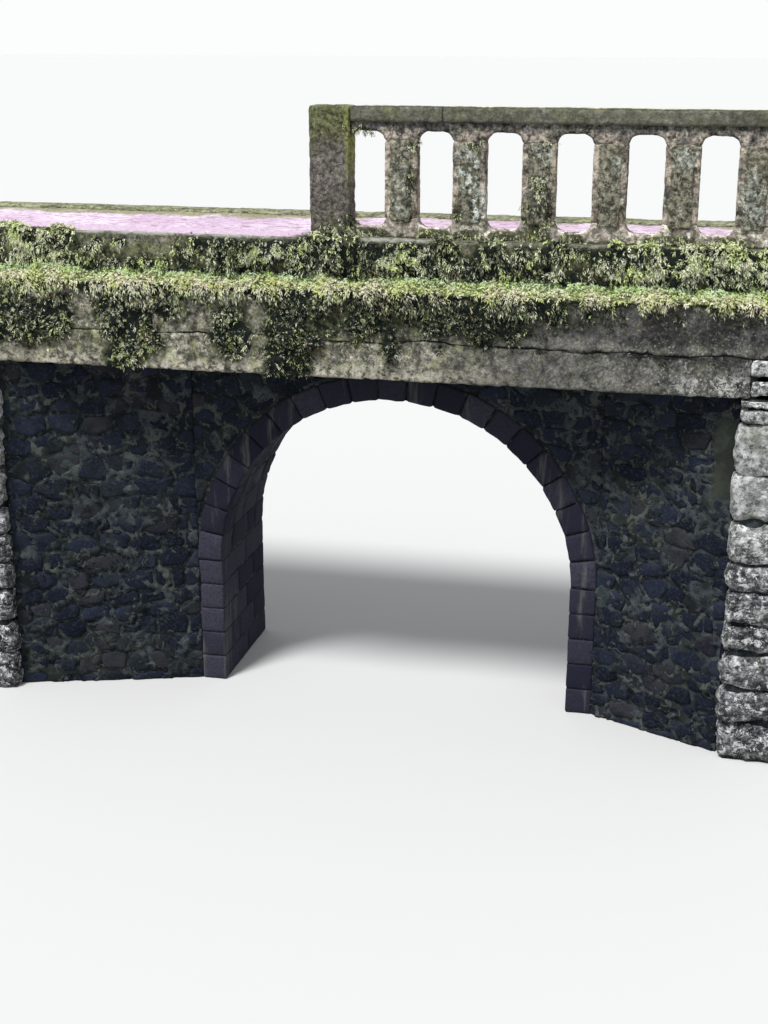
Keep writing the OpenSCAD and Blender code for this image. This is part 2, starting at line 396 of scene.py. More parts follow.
class MeshPile:
    """Collects the arrays of many small pieces that share one object."""

    def __init__(self):
        self.verts, self.faces, self.tones, self.dents, self.count = [], [], [], [], 0

    def add(self, verts, faces, tone=0.5, dents=None):
        """Adds one piece, with its tone and how deep each corner is dented."""
        self.verts.append(np.asarray(verts, float))
        self.faces.extend([[i + self.count for i in f] for f in faces])
        self.tones.append(np.full(len(verts), tone))
        self.dents.append(np.zeros(len(verts)) if dents is None else dents)
        self.count += len(verts)

    def piece(self, name):
        """All that was added, as one object with its tones and dents painted on."""
        piece = mesh_piece(name, np.concatenate(self.verts), self.faces)
        paint(piece, "tone", np.concatenate(self.tones))
        paint(piece, "dent", np.concatenate(self.dents))
        return piece


def closed_sheet(name, front, back, faces):
    """A thin closed body between a front and a back surface that share their faces."""
    used = np.unique(np.array(faces))
    place = np.zeros(len(front), int)
    place[used] = np.arange(len(used))
    faces = place[np.array(faces)].tolist()
    total = len(used)
    edges = {(a, b) for f in faces for a, b in zip(f, f[1:] + f[:1])}
    rim = [(a, b) for a, b in sorted(edges) if (b, a) not in edges]
    walls = [[b, a, a + total, b + total] for a, b in rim]
    underside = [[i + total for i in reversed(f)] for f in faces]
    return mesh_piece(name, np.concatenate([front[used], back[used]]), faces + underside + walls)


def grid_faces(columns, rows, keep=None):
    """Faces of a grid whose corners are numbered column by column."""
    i, j = np.meshgrid(np.arange(columns - 1), np.arange(rows - 1), indexing="ij")
    if keep is not None:
        i, j = i[keep], j[keep]
    a = (i * rows + j).ravel()
    return np.stack([a, a + rows, a + rows + 1, a + 1], axis=1).tolist()


# Stones laid in a flat wall

# How many of the nearest centres shape a stone, its own among them, and the least area of its face
NEAREST_STONES, SMALLEST_STONE = 16, 0.0012


def clip_outline(outline, point, normal):
    """The part of a convex outline that lies behind a line."""
    kept = []
    for i, a in enumerate(outline):
        b = outline[(i + 1) % len(outline)]
        da, db = np.dot(a - point, normal), np.dot(b - point, normal)
        if da <= 0:
            kept.append(a)
        if (da < 0 < db) or (db < 0 < da):
            kept.append(a + (b - a) * (da / (da - db)))
    return kept


def stone_centres(width, height, stone_w, stone_h, random):
    """Centres of random rubble, brought roughly to courses."""
    centres, z = [], -0.3 * stone_h
    while z < height + 0.3 * stone_h:
        course = stone_h * random.uniform(0.7, 1.4)
        x = -random.uniform(0, stone_w)
        while x < width + stone_w:
            w = stone_w * random.uniform(0.5, 1.6)
            centres.append((x + w / 2, z + course * (0.5 + random.uniform(-0.22, 0.22))))
            x += w
        z += course
    return np.array(centres)


def lay_stones(width, height, stone_w, stone_h, gap, random, cuts=()):
    """Outlines of the stones of one wall face, in its own plane."""
    stretch = np.array([stone_h / stone_w, 1.0])
    centres = stone_centres(width, height, stone_w, stone_h, random)
    outlines = []
    frame_box = [np.array(c, float) for c in ((0, 0), (width, 0), (width, height), (0, height))]
    for centre in centres:
        offsets = (centres - centre) * stretch
        order = np.argsort((offsets ** 2).sum(axis=1))[1:NEAREST_STONES]
        outline = frame_box
        for j in order:
            middle = (centre + centres[j]) / 2
            normal = (centres[j] - centre) * stretch ** 2
            normal = normal / np.linalg.norm(normal)
            outline = clip_outline(outline, middle - normal * gap / 2, normal)
            if len(outline) < 3:
                break
        for cut in cuts:
            if len(outline) >= 3:
                outline = cut(outline, gap)
        if len(outline) >= 3 and outline_area(outline) > SMALLEST_STONE:
            outlines.append(np.array(outline))
    return outlines


def outline_area(outline):
    """The area inside an outline."""
    p = np.array(outline)
    q = np.roll(p, -1, axis=0)
    return abs(np.sum(p[:, 0] * q[:, 1] - q[:, 0] * p[:, 1])) / 2


def outside_circle(centre, radius):
    """A cut that keeps a stone clear of a circle, along the circle's tangent."""
    centre = np.array(centre, float)

    def cut(outline, gap):
        middle = np.mean(outline, axis=0)
        away = middle - centre
        distance = np.linalg.norm(away)
        if distance < radius * 0.9:
            return []
        away = away / distance
        return clip_outline(outline, centre + away * (radius + gap), -away)
    return cut


def outside_patch(start, low, high):
    """A cut that leaves a rendered patch at the end of a wall bare of stones."""
    def cut(outline, gap):
        middle = np.mean(outline, axis=0)
        if not low < middle[1] < high:
            return outline
        if middle[0] > start:
            return []
        return clip_outline(outline, np.array([start, 0.0]), np.array([1.0, 0.0]))
    return cut


def outside_box(low_x, high_x, top):
    """A cut that keeps a stone clear of an opening below a level."""
    def cut(outline, gap):
        middle = np.mean(outline, axis=0)
        if middle[1] >= top:
            if low_x < middle[0] < high_x:
                return clip_outline(outline, np.array([0, top]), np.array([0.0, -1.0]))
            return outline
        if middle[0] < (low_x + high_x) / 2:
            return clip_outline(outline, np.array([low_x - gap / 2, 0]), np.array([1.0, 0.0]))
        return clip_outline(outline, np.array([high_x + gap / 2, 0]), np.array([-1.0, 0.0]))
    return cut


def soften(outline, spacing, random):
    """An outline with worn corners and wavering edges."""
    p = np.array(outline)
    q = np.roll(p, -1, axis=0)
    worn = 0.13
    p = np.stack([p + (q - p) * worn, p + (q - p) * (1 - worn)], axis=1).reshape(-1, 2)
    points = []
    for i in range(len(p)):
        a, b = p[i], p[(i + 1) % len(p)]
        length = np.linalg.norm(b - a)
        parts = max(1, int(length / spacing))
        for k in range(parts):
            points.append(a + (b - a) * k / parts)
    points = np.array(points)
    return points + random.uniform(-0.0045, 0.0045, points.shape)


def stone_mesh(outline, relief, random, spacing):
    """One stone: a low dome over its outline. Corners are (along, up, out)."""
    ring = soften(outline, spacing, random)
    count = len(ring)
    centre = ring.mean(axis=0)
    reach = np.linalg.norm(ring - centre, axis=1).mean()
    height = relief * random.uniform(0.55, 1.35)
    tilt = random.uniform(-0.09, 0.09, 2)
    rings = []
    for inset, out in ((0.0, -0.006), (0.002, height * 0.55), (0.009, height * 0.92),
                       (reach * 0.35, height * 1.08), (reach * 0.7, height * 1.15)):
        share = min(inset / max(reach, 1e-6), 0.85)
        flat = ring + (centre - ring) * share
        lift = out + (flat - centre) @ tilt * (1 if out > 0 else 0)
        lift = lift + (random.uniform(-0.0022, 0.0022, count) if out > 0 else 0)
        rings.append(np.column_stack([flat, lift]))
    top = np.append(centre, height * 1.17)
    verts = np.concatenate(rings + [top[None]])
    faces = []
    for level in range(len(rings) - 1):
        below, above = level * count, (level + 1) * count
        for i in range(count):
            j = (i + 1) % count
            faces.append([below + i, below + j, above + j, above + i])
    apex, start = len(verts) - 1, (len(rings) - 1) * count
    faces += [[start + i, start + (i + 1) % count, apex] for i in range(count)]
    faces.append(list(range(count))[::-1])
    return verts, faces


def wall_face(pile, corner, along, width, height, seed, sizes, cuts=(), spacing=0.045):
    """Lays rubble over one upright face, from its lower corner along a level direction."""
    random = np.random.RandomState(seed)
    along = np.array(along, float) / np.linalg.norm(along)
    up = np.array([0.0, 0.0, 1.0])
    out = np.cross(along, up)
    for outline in lay_stones(width, height, sizes.stone_width, sizes.stone_height, sizes.mortar_gap,
                              random, cuts):
        local, faces = stone_mesh(outline, sizes.stone_relief, random, spacing)
        world = np.array(corner) + local[:, :1] * along + local[:, 1:2] * up + local[:, 2:3] * out
        pile.add(world, faces, random.rand())


# The smooth rendered patch beside the right pillar: width, level and top, and how far it stands out
PATCH_WIDTH, PATCH_LOW, PATCH_HIGH, PATCH_LIFT = 0.16, 1.78, 2.36, 0.012


def ring_distance(middle):
    """How far a place on a wall's face lies outside the arch's ring and its piers."""
    def distance(u, v):
        """The distance at so far along the face and so far up."""
        over = np.hypot(u - middle, v - SPRING_Z)
        return np.where(v > SPRING_Z, over, np.abs(u - middle)) - ARCH_OUT
    return distance


def mortar_smears(name, corner, along, width, height, seed, step=0.016, clear=None, patch=None):
    """Lumpy pointing over one upright face, which laps over the stones in places."""
    along = np.array(along, float) / np.linalg.norm(along)
    up = np.array([0.0, 0.0, 1.0])
    out = np.cross(along, up)
    columns, rows = int(round(width / step)) + 1, int(round(height / step)) + 1
    u, v = np.meshgrid(np.linspace(0, width, columns), np.linspace(0, height, rows), indexing="ij")
    base = np.array(corner) + u.reshape(-1, 1) * along + v.reshape(-1, 1) * up
    bend = np.column_stack([value_noise(base, 0.11, seed + k) - 0.5 for k in (20, 21, 22)]) * 0.16
    smear = smooth_step(0.53, 0.60, rough_noise(base + bend, 0.12, seed, 3))
    ribbon = 1 - smooth_step(0.012, 0.045, np.abs(rough_noise(base + bend, 0.14, seed + 9, 3) - 0.5))
    smear = np.maximum(smear * 0.85, ribbon)
    lumps = rough_noise(base, 0.05, seed + 7, 3)
    lift = 0.001 + 0.019 * smear * (0.5 + lumps) + 0.008 * (lumps - 0.5)
    if patch is not None:
        start, low, high = patch
        smooth = smooth_step(start - 0.01, start + 0.03, u.ravel() + (lumps - 0.5) * 0.06)
        smooth *= smooth_step(low, low + 0.04, v.ravel() + (lumps - 0.5) * 0.05)
        smooth *= 1 - smooth_step(high - 0.04, high, v.ravel() + (lumps - 0.5) * 0.05)
        lift = lift * (1 - smooth) + PATCH_LIFT * smooth
    keep = None
    if clear is not None:
        middle_u, middle_v = (u[1:, 1:] + u[:-1, :-1]) / 2, (v[1:, 1:] + v[:-1, :-1]) / 2
        keep = clear(middle_u, middle_v) > -0.04
        low = smooth_step(0.0, 0.06, clear(u.ravel(), v.ravel()))
        lift = lift * low - 0.004 * (1 - low)
    faces = grid_faces(columns, rows, keep)
    piece = closed_sheet(name, base + out * lift[:, None], base - out * 0.008, faces)
    apply_modifier(piece, "DECIMATE", ratio=0.42)
    shade_smooth(piece)
    install(piece, "mortar")


# Moss

def surface_samples(co, normals, tris, weights, density, random):
    """Random places on a surface, with so many to the square metre where the weight is 1."""
    a, b, c = co[tris[:, 0]], co[tris[:, 1]], co[tris[:, 2]]
    area = np.linalg.norm(np.cross(b - a, c - a), axis=1) / 2
    share = area * weights[tris].mean(axis=1)
    count = int(density * share.sum())
    picks = np.searchsorted(np.cumsum(share) / share.sum(), random.rand(count))
    picks = np.minimum(picks, len(tris) - 1)
    u, v = random.rand(count), random.rand(count)
    over = u + v > 1
    u[over], v[over] = 1 - u[over], 1 - v[over]
    mix = np.stack([1 - u - v, u, v], axis=1)
    t = tris[picks]
    places = (co[t] * mix[:, :, None]).sum(axis=1)
    facing = (normals[t] * mix[:, :, None]).sum(axis=1)
    facing /= np.maximum(np.linalg.norm(facing, axis=1, keepdims=True), 1e-9)
    return places, facing


def unit(vectors):
    """The vectors brought to length 1."""
    return vectors / np.maximum(np.linalg.norm(vectors, axis=-1, keepdims=True), 1e-9)


# Pairs of leaves on a sprig, below the one at its tip
SPRIG_PAIRS = 2


def moss_sprigs(name, roots, facing, length, droop, sideways, light, random):
    """Small drooping or sideways sprigs, each of paired leaves with one more at its tip."""
    count = len(roots)
    leaves = 2 * SPRIG_PAIRS + 1
    down = np.array([0.0, 0.0, -1.0])
    swirl = 0.75 + sideways[:, None] * np.array([0.9, -0.1, -0.15])
    flat = smooth_step(0.4, 0.8, facing[:, 2])
    start = facing * (0.8 - 0.2 * sideways - 0.45 * flat)[:, None] + random.normal(size=(count, 3)) * swirl
    inward = np.minimum((start * facing).sum(axis=1, keepdims=True) - 0.25, 0)
    start = unit(start - facing * inward)[:, None, :]
    sag = droop[:, None, None]
    size = length[:, None, None]
    s = np.array([0.12 + 0.88 * ((k + 1) // 2) / (SPRIG_PAIRS + 0.4) for k in range(leaves)])
    s[-1] = 0.8
    s = s[None, :, None]
    sign = np.array([(-1.0) ** k for k in range(leaves)])
    sign[-1] = 0.0
    place = roots[:, None, :] + size * (start * s * (1 - 0.4 * sag * s) + down * sag * 0.8 * s ** 2)
    tangent = unit(start * (1 - 0.8 * sag * s) + down * 1.6 * sag * s)
    side = unit(np.cross(tangent, facing[:, None, :] + random.normal(size=(count, 1, 3)) * 0.5))
    stray = random.normal(size=(count, leaves, 3)) * 0.25
    heading = unit(tangent + side * sign[None, :, None] * 0.75 + stray)
    leaf = size * (0.60 - 0.2 * s) * random.uniform(0.75, 1.3, (count, leaves, 1))
    half = leaf * random.uniform(0.075, 0.15, (count, leaves, 1)) * (1 + flat * light ** 2)[:, None, None]
    across = unit(np.cross(heading, facing[:, None, :] + random.normal(size=(count, leaves, 3)) * 0.4))
    rib = np.cross(across, heading) * half * random.uniform(-0.3, 0.8, (count, leaves, 1))
    middle = place + heading * leaf * 0.45
    tip = place + heading * leaf + down * leaf * 0.2
    verts = np.stack([place, middle + across * half + rib, tip, middle - across * half + rib], axis=2)
    total = count * leaves
    order = np.arange(total)[:, None] * 4
    faces = np.concatenate([order + np.array([0, 1, 2]), order + np.array([0, 2, 3])])
    mesh = bpy.data.meshes.new(name)
    mesh.vertices.add(total * 4)
    mesh.vertices.foreach_set("co", verts.reshape(-1))
    mesh.loops.add(len(faces) * 3)
    mesh.loops.foreach_set("vertex_index", faces.reshape(-1))
    mesh.polygons.add(len(faces))
    mesh.polygons.foreach_set("loop_start", np.arange(len(faces)) * 3)
    mesh.update(calc_edges=True)
    piece = link_mesh(name, mesh)
    along = np.broadcast_to(s, (count, leaves, 1))
    tips = np.clip(along * 0.75 + np.array([0.0, 0.18, 0.34, 0.18]), 0, 1)
    tone = 0.55 * random.rand(count, 1, 1) + 0.45 * random.rand(count, leaves, 1)
    paint(piece, "leaf_tip", tips.reshape(-1))
    paint(piece, "leaf_tone", np.broadcast_to(tone, (count, leaves, 4)).reshape(-1))
    paint(piece, "leaf_light", np.repeat(light, leaves * 4))
    return piece


# Moss cushions on the beam's face, dark with painted shade: middle along the bridge, level, half width,
# half height
BEAM_CUSHIONS = (
    (-2.80, 2.88, 0.34, 0.22), (-2.38, 2.84, 0.30, 0.22), (-2.06, 2.80, 0.13, 0.20),
    (-1.53, 2.78, 0.22, 0.31), (-1.25, 2.93, 0.10, 0.09), (-0.78, 2.79, 0.13, 0.19),
    (-0.37, 2.77, 0.18, 0.34), (-0.13, 2.94, 0.12, 0.16), (0.16, 2.93, 0.18, 0.18),
    (0.30, 2.74, 0.06, 0.14), (0.60, 2.96, 0.30, 0.17), (1.00, 2.95, 0.24, 0.19),
    (1.34, 3.00, 0.16, 0.10),
)
# Stretches of the plinth's face with only a thin film of moss: start, end and strength
THIN_MOSS = ((-1.93, -1.24, 0.95), (-0.02, 0.06, 0.3), (0.5, 0.62, 0.5))
# Where moss also covers the plinth's top: up to the left one's end, round the post, and from the right on
LEFT_MOUND_END, RIGHT_MOUNDS_START = (-1.99, -1.88), (0.42, 0.62)
POST_MOUND_START, POST_MOUND_END = (-0.46, -0.28), (0.0, 0.14)


def moss_cover(co):
    """How thickly moss covers each place on the near edge, from 0 to 1."""
    x, z = co[:, 0], co[:, 2]
    waver = rough_noise(co, 0.2, 5) - 0.5
    fine = rough_noise(co, 0.06, 9) - 0.5
    on_beam = z <= Z_LEDGE + 0.004
    fringe = 0.04 + 0.14 * (rough_noise(np.column_stack([x, x * 0, x * 0]), 0.16, 21) - 0.3)
    fringe = fringe * (1 - 0.55 * smooth_step(0.0, 0.6, x))
    depth = Z_LEDGE - z
    cover_fringe = 1 - smooth_step(fringe * 0.5, fringe * 1.2, depth + fine * 0.10)
    cushions = np.zeros(len(co))
    for middle, level, half_w, half_h in BEAM_CUSHIONS:
        away = np.hypot((x - middle) / half_w, (z - level) / half_h)
        cushions = np.maximum(cushions, 1 - smooth_step(0.5, 1.25, away + waver * 1.0 + fine * 0.9))
    strays = 0.5 * smooth_step(0.14, 0.24, fine + waver * 0.3) * smooth_step(2.6, 2.75, z)
    cover = np.where(on_beam, np.maximum.reduce([cover_fringe, cushions, strays]), 0)
    on_ledge = (z > Z_LEDGE) & (co[:, 1] < Y_PLINTH + 0.012) & (z <= Z_LEDGE_BACK + 0.03)
    cover = np.where(on_ledge, np.clip(1.0 + fine * 0.9, 0, 1), cover)
    on_face = z > Z_LEDGE_BACK + 0.03
    thin = np.zeros(len(co))
    for start, end, strength in THIN_MOSS:
        inside = smooth_step(start - 0.07, start + 0.07, x + waver * 0.4)
        inside = inside * (1 - smooth_step(end - 0.07, end + 0.07, x + waver * 0.4))
        above = smooth_step(Z_LEDGE_BACK + 0.02, Z_LEDGE_BACK + 0.16, z + waver * 0.2)
        thin = np.maximum(thin, strength * inside * above)
    face = np.clip(0.80 + waver * 1.6 + fine * 1.8, 0, 1) * (1 - thin)
    face = np.maximum(face, 0.7 * smooth_step(-0.06, 0.10, fine + waver * 0.4) * thin)
    top_fade = 1 - smooth_step(Z_PLINTH - 0.05, Z_PLINTH - 0.008, z + waver * 0.07 + fine * 0.05)
    post = smooth_step(*POST_MOUND_START, x) * (1 - smooth_step(*POST_MOUND_END, x))
    mound = np.maximum(1 - smooth_step(*LEFT_MOUND_END, x + waver * 0.2), 0.9 * post)
    right = smooth_step(*RIGHT_MOUNDS_START, x)
    mound = np.maximum(mound, 0.9 * smooth_step(-0.08, 0.08, waver) * right)
    cover = np.where(on_face, face * np.maximum(top_fade, mound), cover)
    return np.clip(cover, 0, 1)


def moss_light(co, facing):
    """How bright the moss is painted at each place, as painted light and shade: brightest where it faces
    up, dark with painted shade on the beam.
    """
    x, z = co[:, 0], co[:, 2]
    patch = rough_noise(co, 0.16, 51) - 0.5
    clump = smooth_step(0.30, 0.70, value_noise(co, 0.042, 57)) - 0.5
    # Painted light: moss on the ledge is painted brightest where it faces up.
    ledge = smooth_step(Z_LEDGE - 0.03, Z_LEDGE, z)
    ledge = ledge * (1 - smooth_step(Z_LEDGE_BACK + 0.02, Z_LEDGE_BACK + 0.06, z))
    ledge = ledge * smooth_step(0.1, 0.5, facing[:, 2])
    fringe = 0.50 * smooth_step(Z_LEDGE - 0.05, Z_LEDGE + 0.01, z)
    lip = smooth_step(Z_PLINTH - 0.04, Z_PLINTH, z)
    left = 1 - smooth_step(-2.1, -1.7, x)
    face = 0.33 + 0.60 * left + 0.45 * smooth_step(1.6, 2.2, x) + 0.22 * lip
    face = face - 0.14 * smooth_step(-0.3, -0.1, x) * (1 - smooth_step(0.1, 0.4, x))
    face = face - 0.28 * smooth_step(Z_PLINTH + 0.03, Z_PLINTH + 0.12, z)
    # Painted shade: moss hanging on the beam's face is painted dark, a little lighter just under the ledge.
    beam = 0.27 - 0.23 * smooth_step(-0.75, -0.5, x) + fringe * (1 - 0.6 * smooth_step(-0.2, 0.4, x))
    base = np.where(z > Z_LEDGE, face, beam)
    # Painted shade at the plinth's foot, just above the ledge.
    foot = smooth_step(Z_LEDGE_BACK + 0.11, Z_LEDGE_BACK + 0.02, z) * (1 - ledge)
    base = base - 0.28 * foot * (z > Z_LEDGE)
    start, end, _ = THIN_MOSS[0]
    thin = smooth_step(start, start + 0.1, x) * smooth_step(end, end - 0.1, x)
    base = base + 0.3 * thin * (z > Z_LEDGE_BACK)
    clumps = 1.0 - 0.4 * ledge * smooth_step(0.4, 1.0, x) + 0.6 * left * (1 - ledge)
    swing = np.where(z > Z_LEDGE, clumps, 0.32)
    return np.clip(base * (1 - ledge) + ledge * 1.2 + patch * 0.5 + clump * swing, 0.0, 1)


def edge_profile():
    """The near edge's section, from the plinth's top down to the beam's underside."""
    return [
        (Y_PLINTH + 0.05, Z_PLINTH), (Y_PLINTH, Z_PLINTH), (Y_PLINTH, Z_LEDGE_BACK),
        (Y_BEAM, Z_LEDGE), (Y_BEAM, Z_BEAM + 0.004),
    ]


def profile_points(profile, step, blend_reach=0.03):
    """Places and outward directions along a section that turns from back to front."""
    corners = [np.array(p) for p in profile]
    runs = [(b - a) / np.linalg.norm(b - a) for a, b in zip(corners, corners[1:])]
    outward = [np.array([d[1], -d[0]]) for d in runs]
    places, outs = [], []
    for i, (a, b) in enumerate(zip(corners, corners[1:])):
        length = np.linalg.norm(b - a)
        parts = max(2, int(round(length / step)))
        last = i == len(runs) - 1
        for k in range(parts + 1 if last else parts):
            t = k / parts
            blend = outward[i].copy()
            if i > 0:
                blend = blend + outward[i - 1] * max(0.0, 1 - t * length / blend_reach)
            if not last:
                blend = blend + outward[i + 1] * max(0.0, 1 - (1 - t) * length / blend_reach)
            places.append(a + (b - a) * t)
            outs.append(blend / np.linalg.norm(blend))
    return np.array(places), np.array(outs)


def moss_bed(name, x_start, x_end, thickness, step=0.022):
    """The moss's own body: a lumpy sheet that follows the near edge where moss grows."""
    places, outs = profile_points(edge_profile(), step)
    columns, rows = int(round((x_end - x_start) / step)) + 1, len(places)
    p, n = np.zeros((columns, rows, 3)), np.zeros((columns, rows, 3))
    p[:, :, 0] = np.linspace(x_start, x_end, columns)[:, None]
    p[:, :, 1:] = places[None]
    n[:, :, 1:] = outs[None]
    p, n = p.reshape(-1, 3), n.reshape(-1, 3)
    cover = moss_cover(p) * smooth_step(Y_PLINTH + 0.05, Y_PLINTH + 0.02, p[:, 1])
    hollows = rough_noise(p, 0.075, 33, 2)
    lumps = 0.1 + 1.9 * smooth_step(0.3, 0.75, hollows) * (0.5 + value_noise(p, 0.3, 41))
    lift = -0.012 + (0.010 + thickness * lumps) * smooth_step(0.35, 0.8, cover)
    faces = [f[::-1] for f in grid_faces(columns, rows)]
    piece = closed_sheet(name, p + n * lift[:, None], p - n * 0.016, faces)
    # The bed carries the moss's painted light where it faces up.
    lit = moss_light(p, n) * smooth_step(0.25, 0.7, n[:, 2])
    paint(piece, "leaf_light", np.concatenate([lit, lit * 0]))
    level = 0.78 + 0.22 * smooth_step(0.3, 0.7, n[:, 2])
    tris = np.array([[f[0], f[1], f[2]] for f in faces] + [[f[0], f[2], f[3]] for f in faces])
    weights = level * smooth_step(0.12, 0.75, cover) * (0.12 + 0.88 * smooth_step(0.36, 0.56, hollows))
    return piece, (p + n * np.maximum(lift, 0.001)[:, None], n, tris, weights)


def surface_arrays(piece):
    """A piece's corners, their outward directions and its triangles."""
    piece.data.calc_loop_triangles()
    tris = np.zeros(len(piece.data.loop_triangles) * 3, np.int32)
    piece.data.loop_triangles.foreach_get("vertices", tris)
    return coordinates(piece), vertex_normals(piece), tris.reshape(-1, 3)


# Tufts on the balustrade's near side: middle, level, half width, half height
TUFTS = (
    (-0.14, 3.43, 0.17, 0.08), (-0.03, 3.50, 0.07, 0.09), (0.10, 3.44, 0.13, 0.035),
    (0.53, 3.44, 0.11, 0.045), (0.78, 3.44, 0.10, 0.04), (0.99, 3.44, 0.11, 0.04),
    (1.215, 3.60, 0.13, 0.15), (1.23, 3.80, 0.10, 0.13),
    (1.20, 3.44, 0.14, 0.05), (1.43, 3.43, 0.08, 0.04), (2.06, 3.44, 0.16, 0.04),
    (2.45, 3.45, 0.16, 0.04), (2.98, 3.44, 0.16, 0.07),
    (0.05, 4.10, 0.13, 0.045), (0.17, 4.02, 0.06, 0.05), (0.40, 3.98, 0.04, 0.07),
    (0.39, 3.72, 0.03, 0.14), (0.70, 3.60, 0.04, 0.10), (0.81, 4.02, 0.06, 0.03),
    (1.25, 4.03, 0.08, 0.03),
)


def tuft_cover(co):
    """How thickly tufts grow at each place on the balustrade, from 0 to 1."""
    waver = rough_noise(co, 0.12, 15) - 0.5
    cover = np.zeros(len(co))
    for middle, level, half_w, half_h in TUFTS:
        away = np.hypot((co[:, 0] - middle) / half_w, (co[:, 2] - level) / half_h)
        cover = np.maximum(cover, 1 - smooth_step(0.5, 1.15, away + waver * 1.2))
    gaps = smooth_step(-0.08, 0.06, value_noise(co, 0.045, 19) - 0.42)
    return cover * np.where(co[:, 2] > Z_PLINTH + 0.08, gaps, 1)


# Materials

class Finish:
    """Builds one node material step by step."""

    def __init__(self, name, roughness, sheen=0.15):
        self.material = bpy.data.materials.new(name)
        self.material.use_nodes = True
        self.nodes = self.material.node_tree.nodes
        self.links = self.material.node_tree.links
        self.shader = self.nodes["Principled BSDF"]
        self.shader.inputs["Roughness"].default_value = roughness
        self.shader.inputs["Specular IOR Level"].default_value = sheen
        self.place = self.nodes.new("ShaderNodeTexCoord").outputs["Object"]
        split = self.nodes.new("ShaderNodeSeparateXYZ")
        self.links.new(self.place, split.inputs[0])
        self.x, self.y, self.z = split.outputs

    def wire(self, value, socket):
        """Links a socket to another one, or sets it to a colour or a number."""
        if isinstance(value, bpy.types.NodeSocket):
            self.links.new(value, socket)
        elif isinstance(value, tuple):
            socket.default_value = (*value, 1.0)
        else:
            socket.default_value = value

    def stretched(self, scale):
        """Places scaled by so much along each axis."""
        node = self.nodes.new("ShaderNodeMapping")
        node.inputs["Scale"].default_value = scale
        self.links.new(self.place, node.inputs["Vector"])
        return node.outputs[0]

    def noise(self, scale, detail=5.0, rough=0.55, place=None, warp=0.0):
        """Cloudy noise around 0.5."""
        node = self.nodes.new("ShaderNodeTexNoise")
        node.inputs["Scale"].default_value = scale
        node.inputs["Detail"].default_value = detail
        node.inputs["Roughness"].default_value = rough
        node.inputs["Distortion"].default_value = warp
        self.links.new(place or self.place, node.inputs["Vector"])
        return node.outputs["Fac"]

    def cells(self, scale):
        """How far each place lies from the nearest of many scattered grains."""
        node = self.nodes.new("ShaderNodeTexVoronoi")
        node.inputs["Scale"].default_value = scale
        self.links.new(self.place, node.inputs["Vector"])
        return node.outputs["Distance"]

    def band(self, value, low, high, to_low=0.0, to_high=1.0):
        """Goes smoothly from one result to the other while the value passes from low to high."""
        node = self.nodes.new("ShaderNodeMapRange")
        node.interpolation_type = "SMOOTHSTEP"
        self.wire(value, node.inputs["Value"])
        node.inputs["From Min"].default_value = low
        node.inputs["From Max"].default_value = high
        node.inputs["To Min"].default_value = to_low
        node.inputs["To Max"].default_value = to_high
        return node.outputs["Result"]

    def math(self, kind, a, b=0.0):
        """One step of arithmetic."""
        node = self.nodes.new("ShaderNodeMath")
        node.operation = kind
        self.wire(a, node.inputs[0])
        self.wire(b, node.inputs[1])
        return node.outputs[0]

    def times(self, a, b):
        return self.math("MULTIPLY", a, b)

    def plus(self, a, b):
        return self.math("ADD", a, b)

    def minus(self, a, b):
        return self.math("SUBTRACT", a, b)

    def waver(self, amount, *kind, **more):
        """Noise that swings to both sides of zero, by up to about half the amount."""
        return self.times(self.minus(self.noise(*kind, **more), 0.5), amount)

    def mix(self, share, a, b, kind="MIX"):
        """Lays colour b over colour a, by a share from 0 to 1."""
        node = self.nodes.new("ShaderNodeMix")
        node.data_type = "RGBA"
        node.blend_type = kind
        self.wire(share, node.inputs["Factor"])
        self.wire(a, node.inputs[6])
        self.wire(b, node.inputs[7])
        node.clamp_result = False
        return node.outputs[2]

    def attribute(self, name):
        """A number that was painted on the mesh."""
        node = self.nodes.new("ShaderNodeAttribute")
        node.attribute_name = name
        return node.outputs["Fac"]

    def upward(self):
        """1 on a level top, 0 on an upright face."""
        node = self.nodes.new("ShaderNodeNewGeometry")
        split = self.nodes.new("ShaderNodeSeparateXYZ")
        self.links.new(node.outputs["Normal"], split.inputs[0])
        return split.outputs[2]

    def bump(self, height, strength, distance):
        """Fine relief in the shading, over any that was added before."""
        node = self.nodes.new("ShaderNodeBump")
        node.inputs["Strength"].default_value = strength
        node.inputs["Distance"].default_value = distance
        self.links.new(height, node.inputs["Height"])
        if self.shader.inputs["Normal"].links:
            self.links.new(self.shader.inputs["Normal"].links[0].from_socket, node.inputs["Normal"])
        self.links.new(node.outputs[0], self.shader.inputs["Normal"])

    def mottled(self, colour, low=0.5, high=1.5, scale=26):
        """The colour made lighter and darker in small blotches."""
        blotches = self.noise(scale, 7, 0.75, warp=0.3)
        level = self.band(blotches, 0.38, 0.62, low, high)
        grey = self.nodes.new("ShaderNodeCombineColor")
        for socket in grey.inputs:
            self.links.new(level, socket)
        return self.mix(1.0, colour, grey.outputs[0], "MULTIPLY")

    def done(self, colour):
        """Gives the finished material its colour."""
        self.wire(colour, self.shader.inputs["Base Color"])
        return self.material


def shade(colour, factor):
    """The colour made darker or lighter, up to white."""
    return tuple(min(1.0, c * factor) for c in colour)


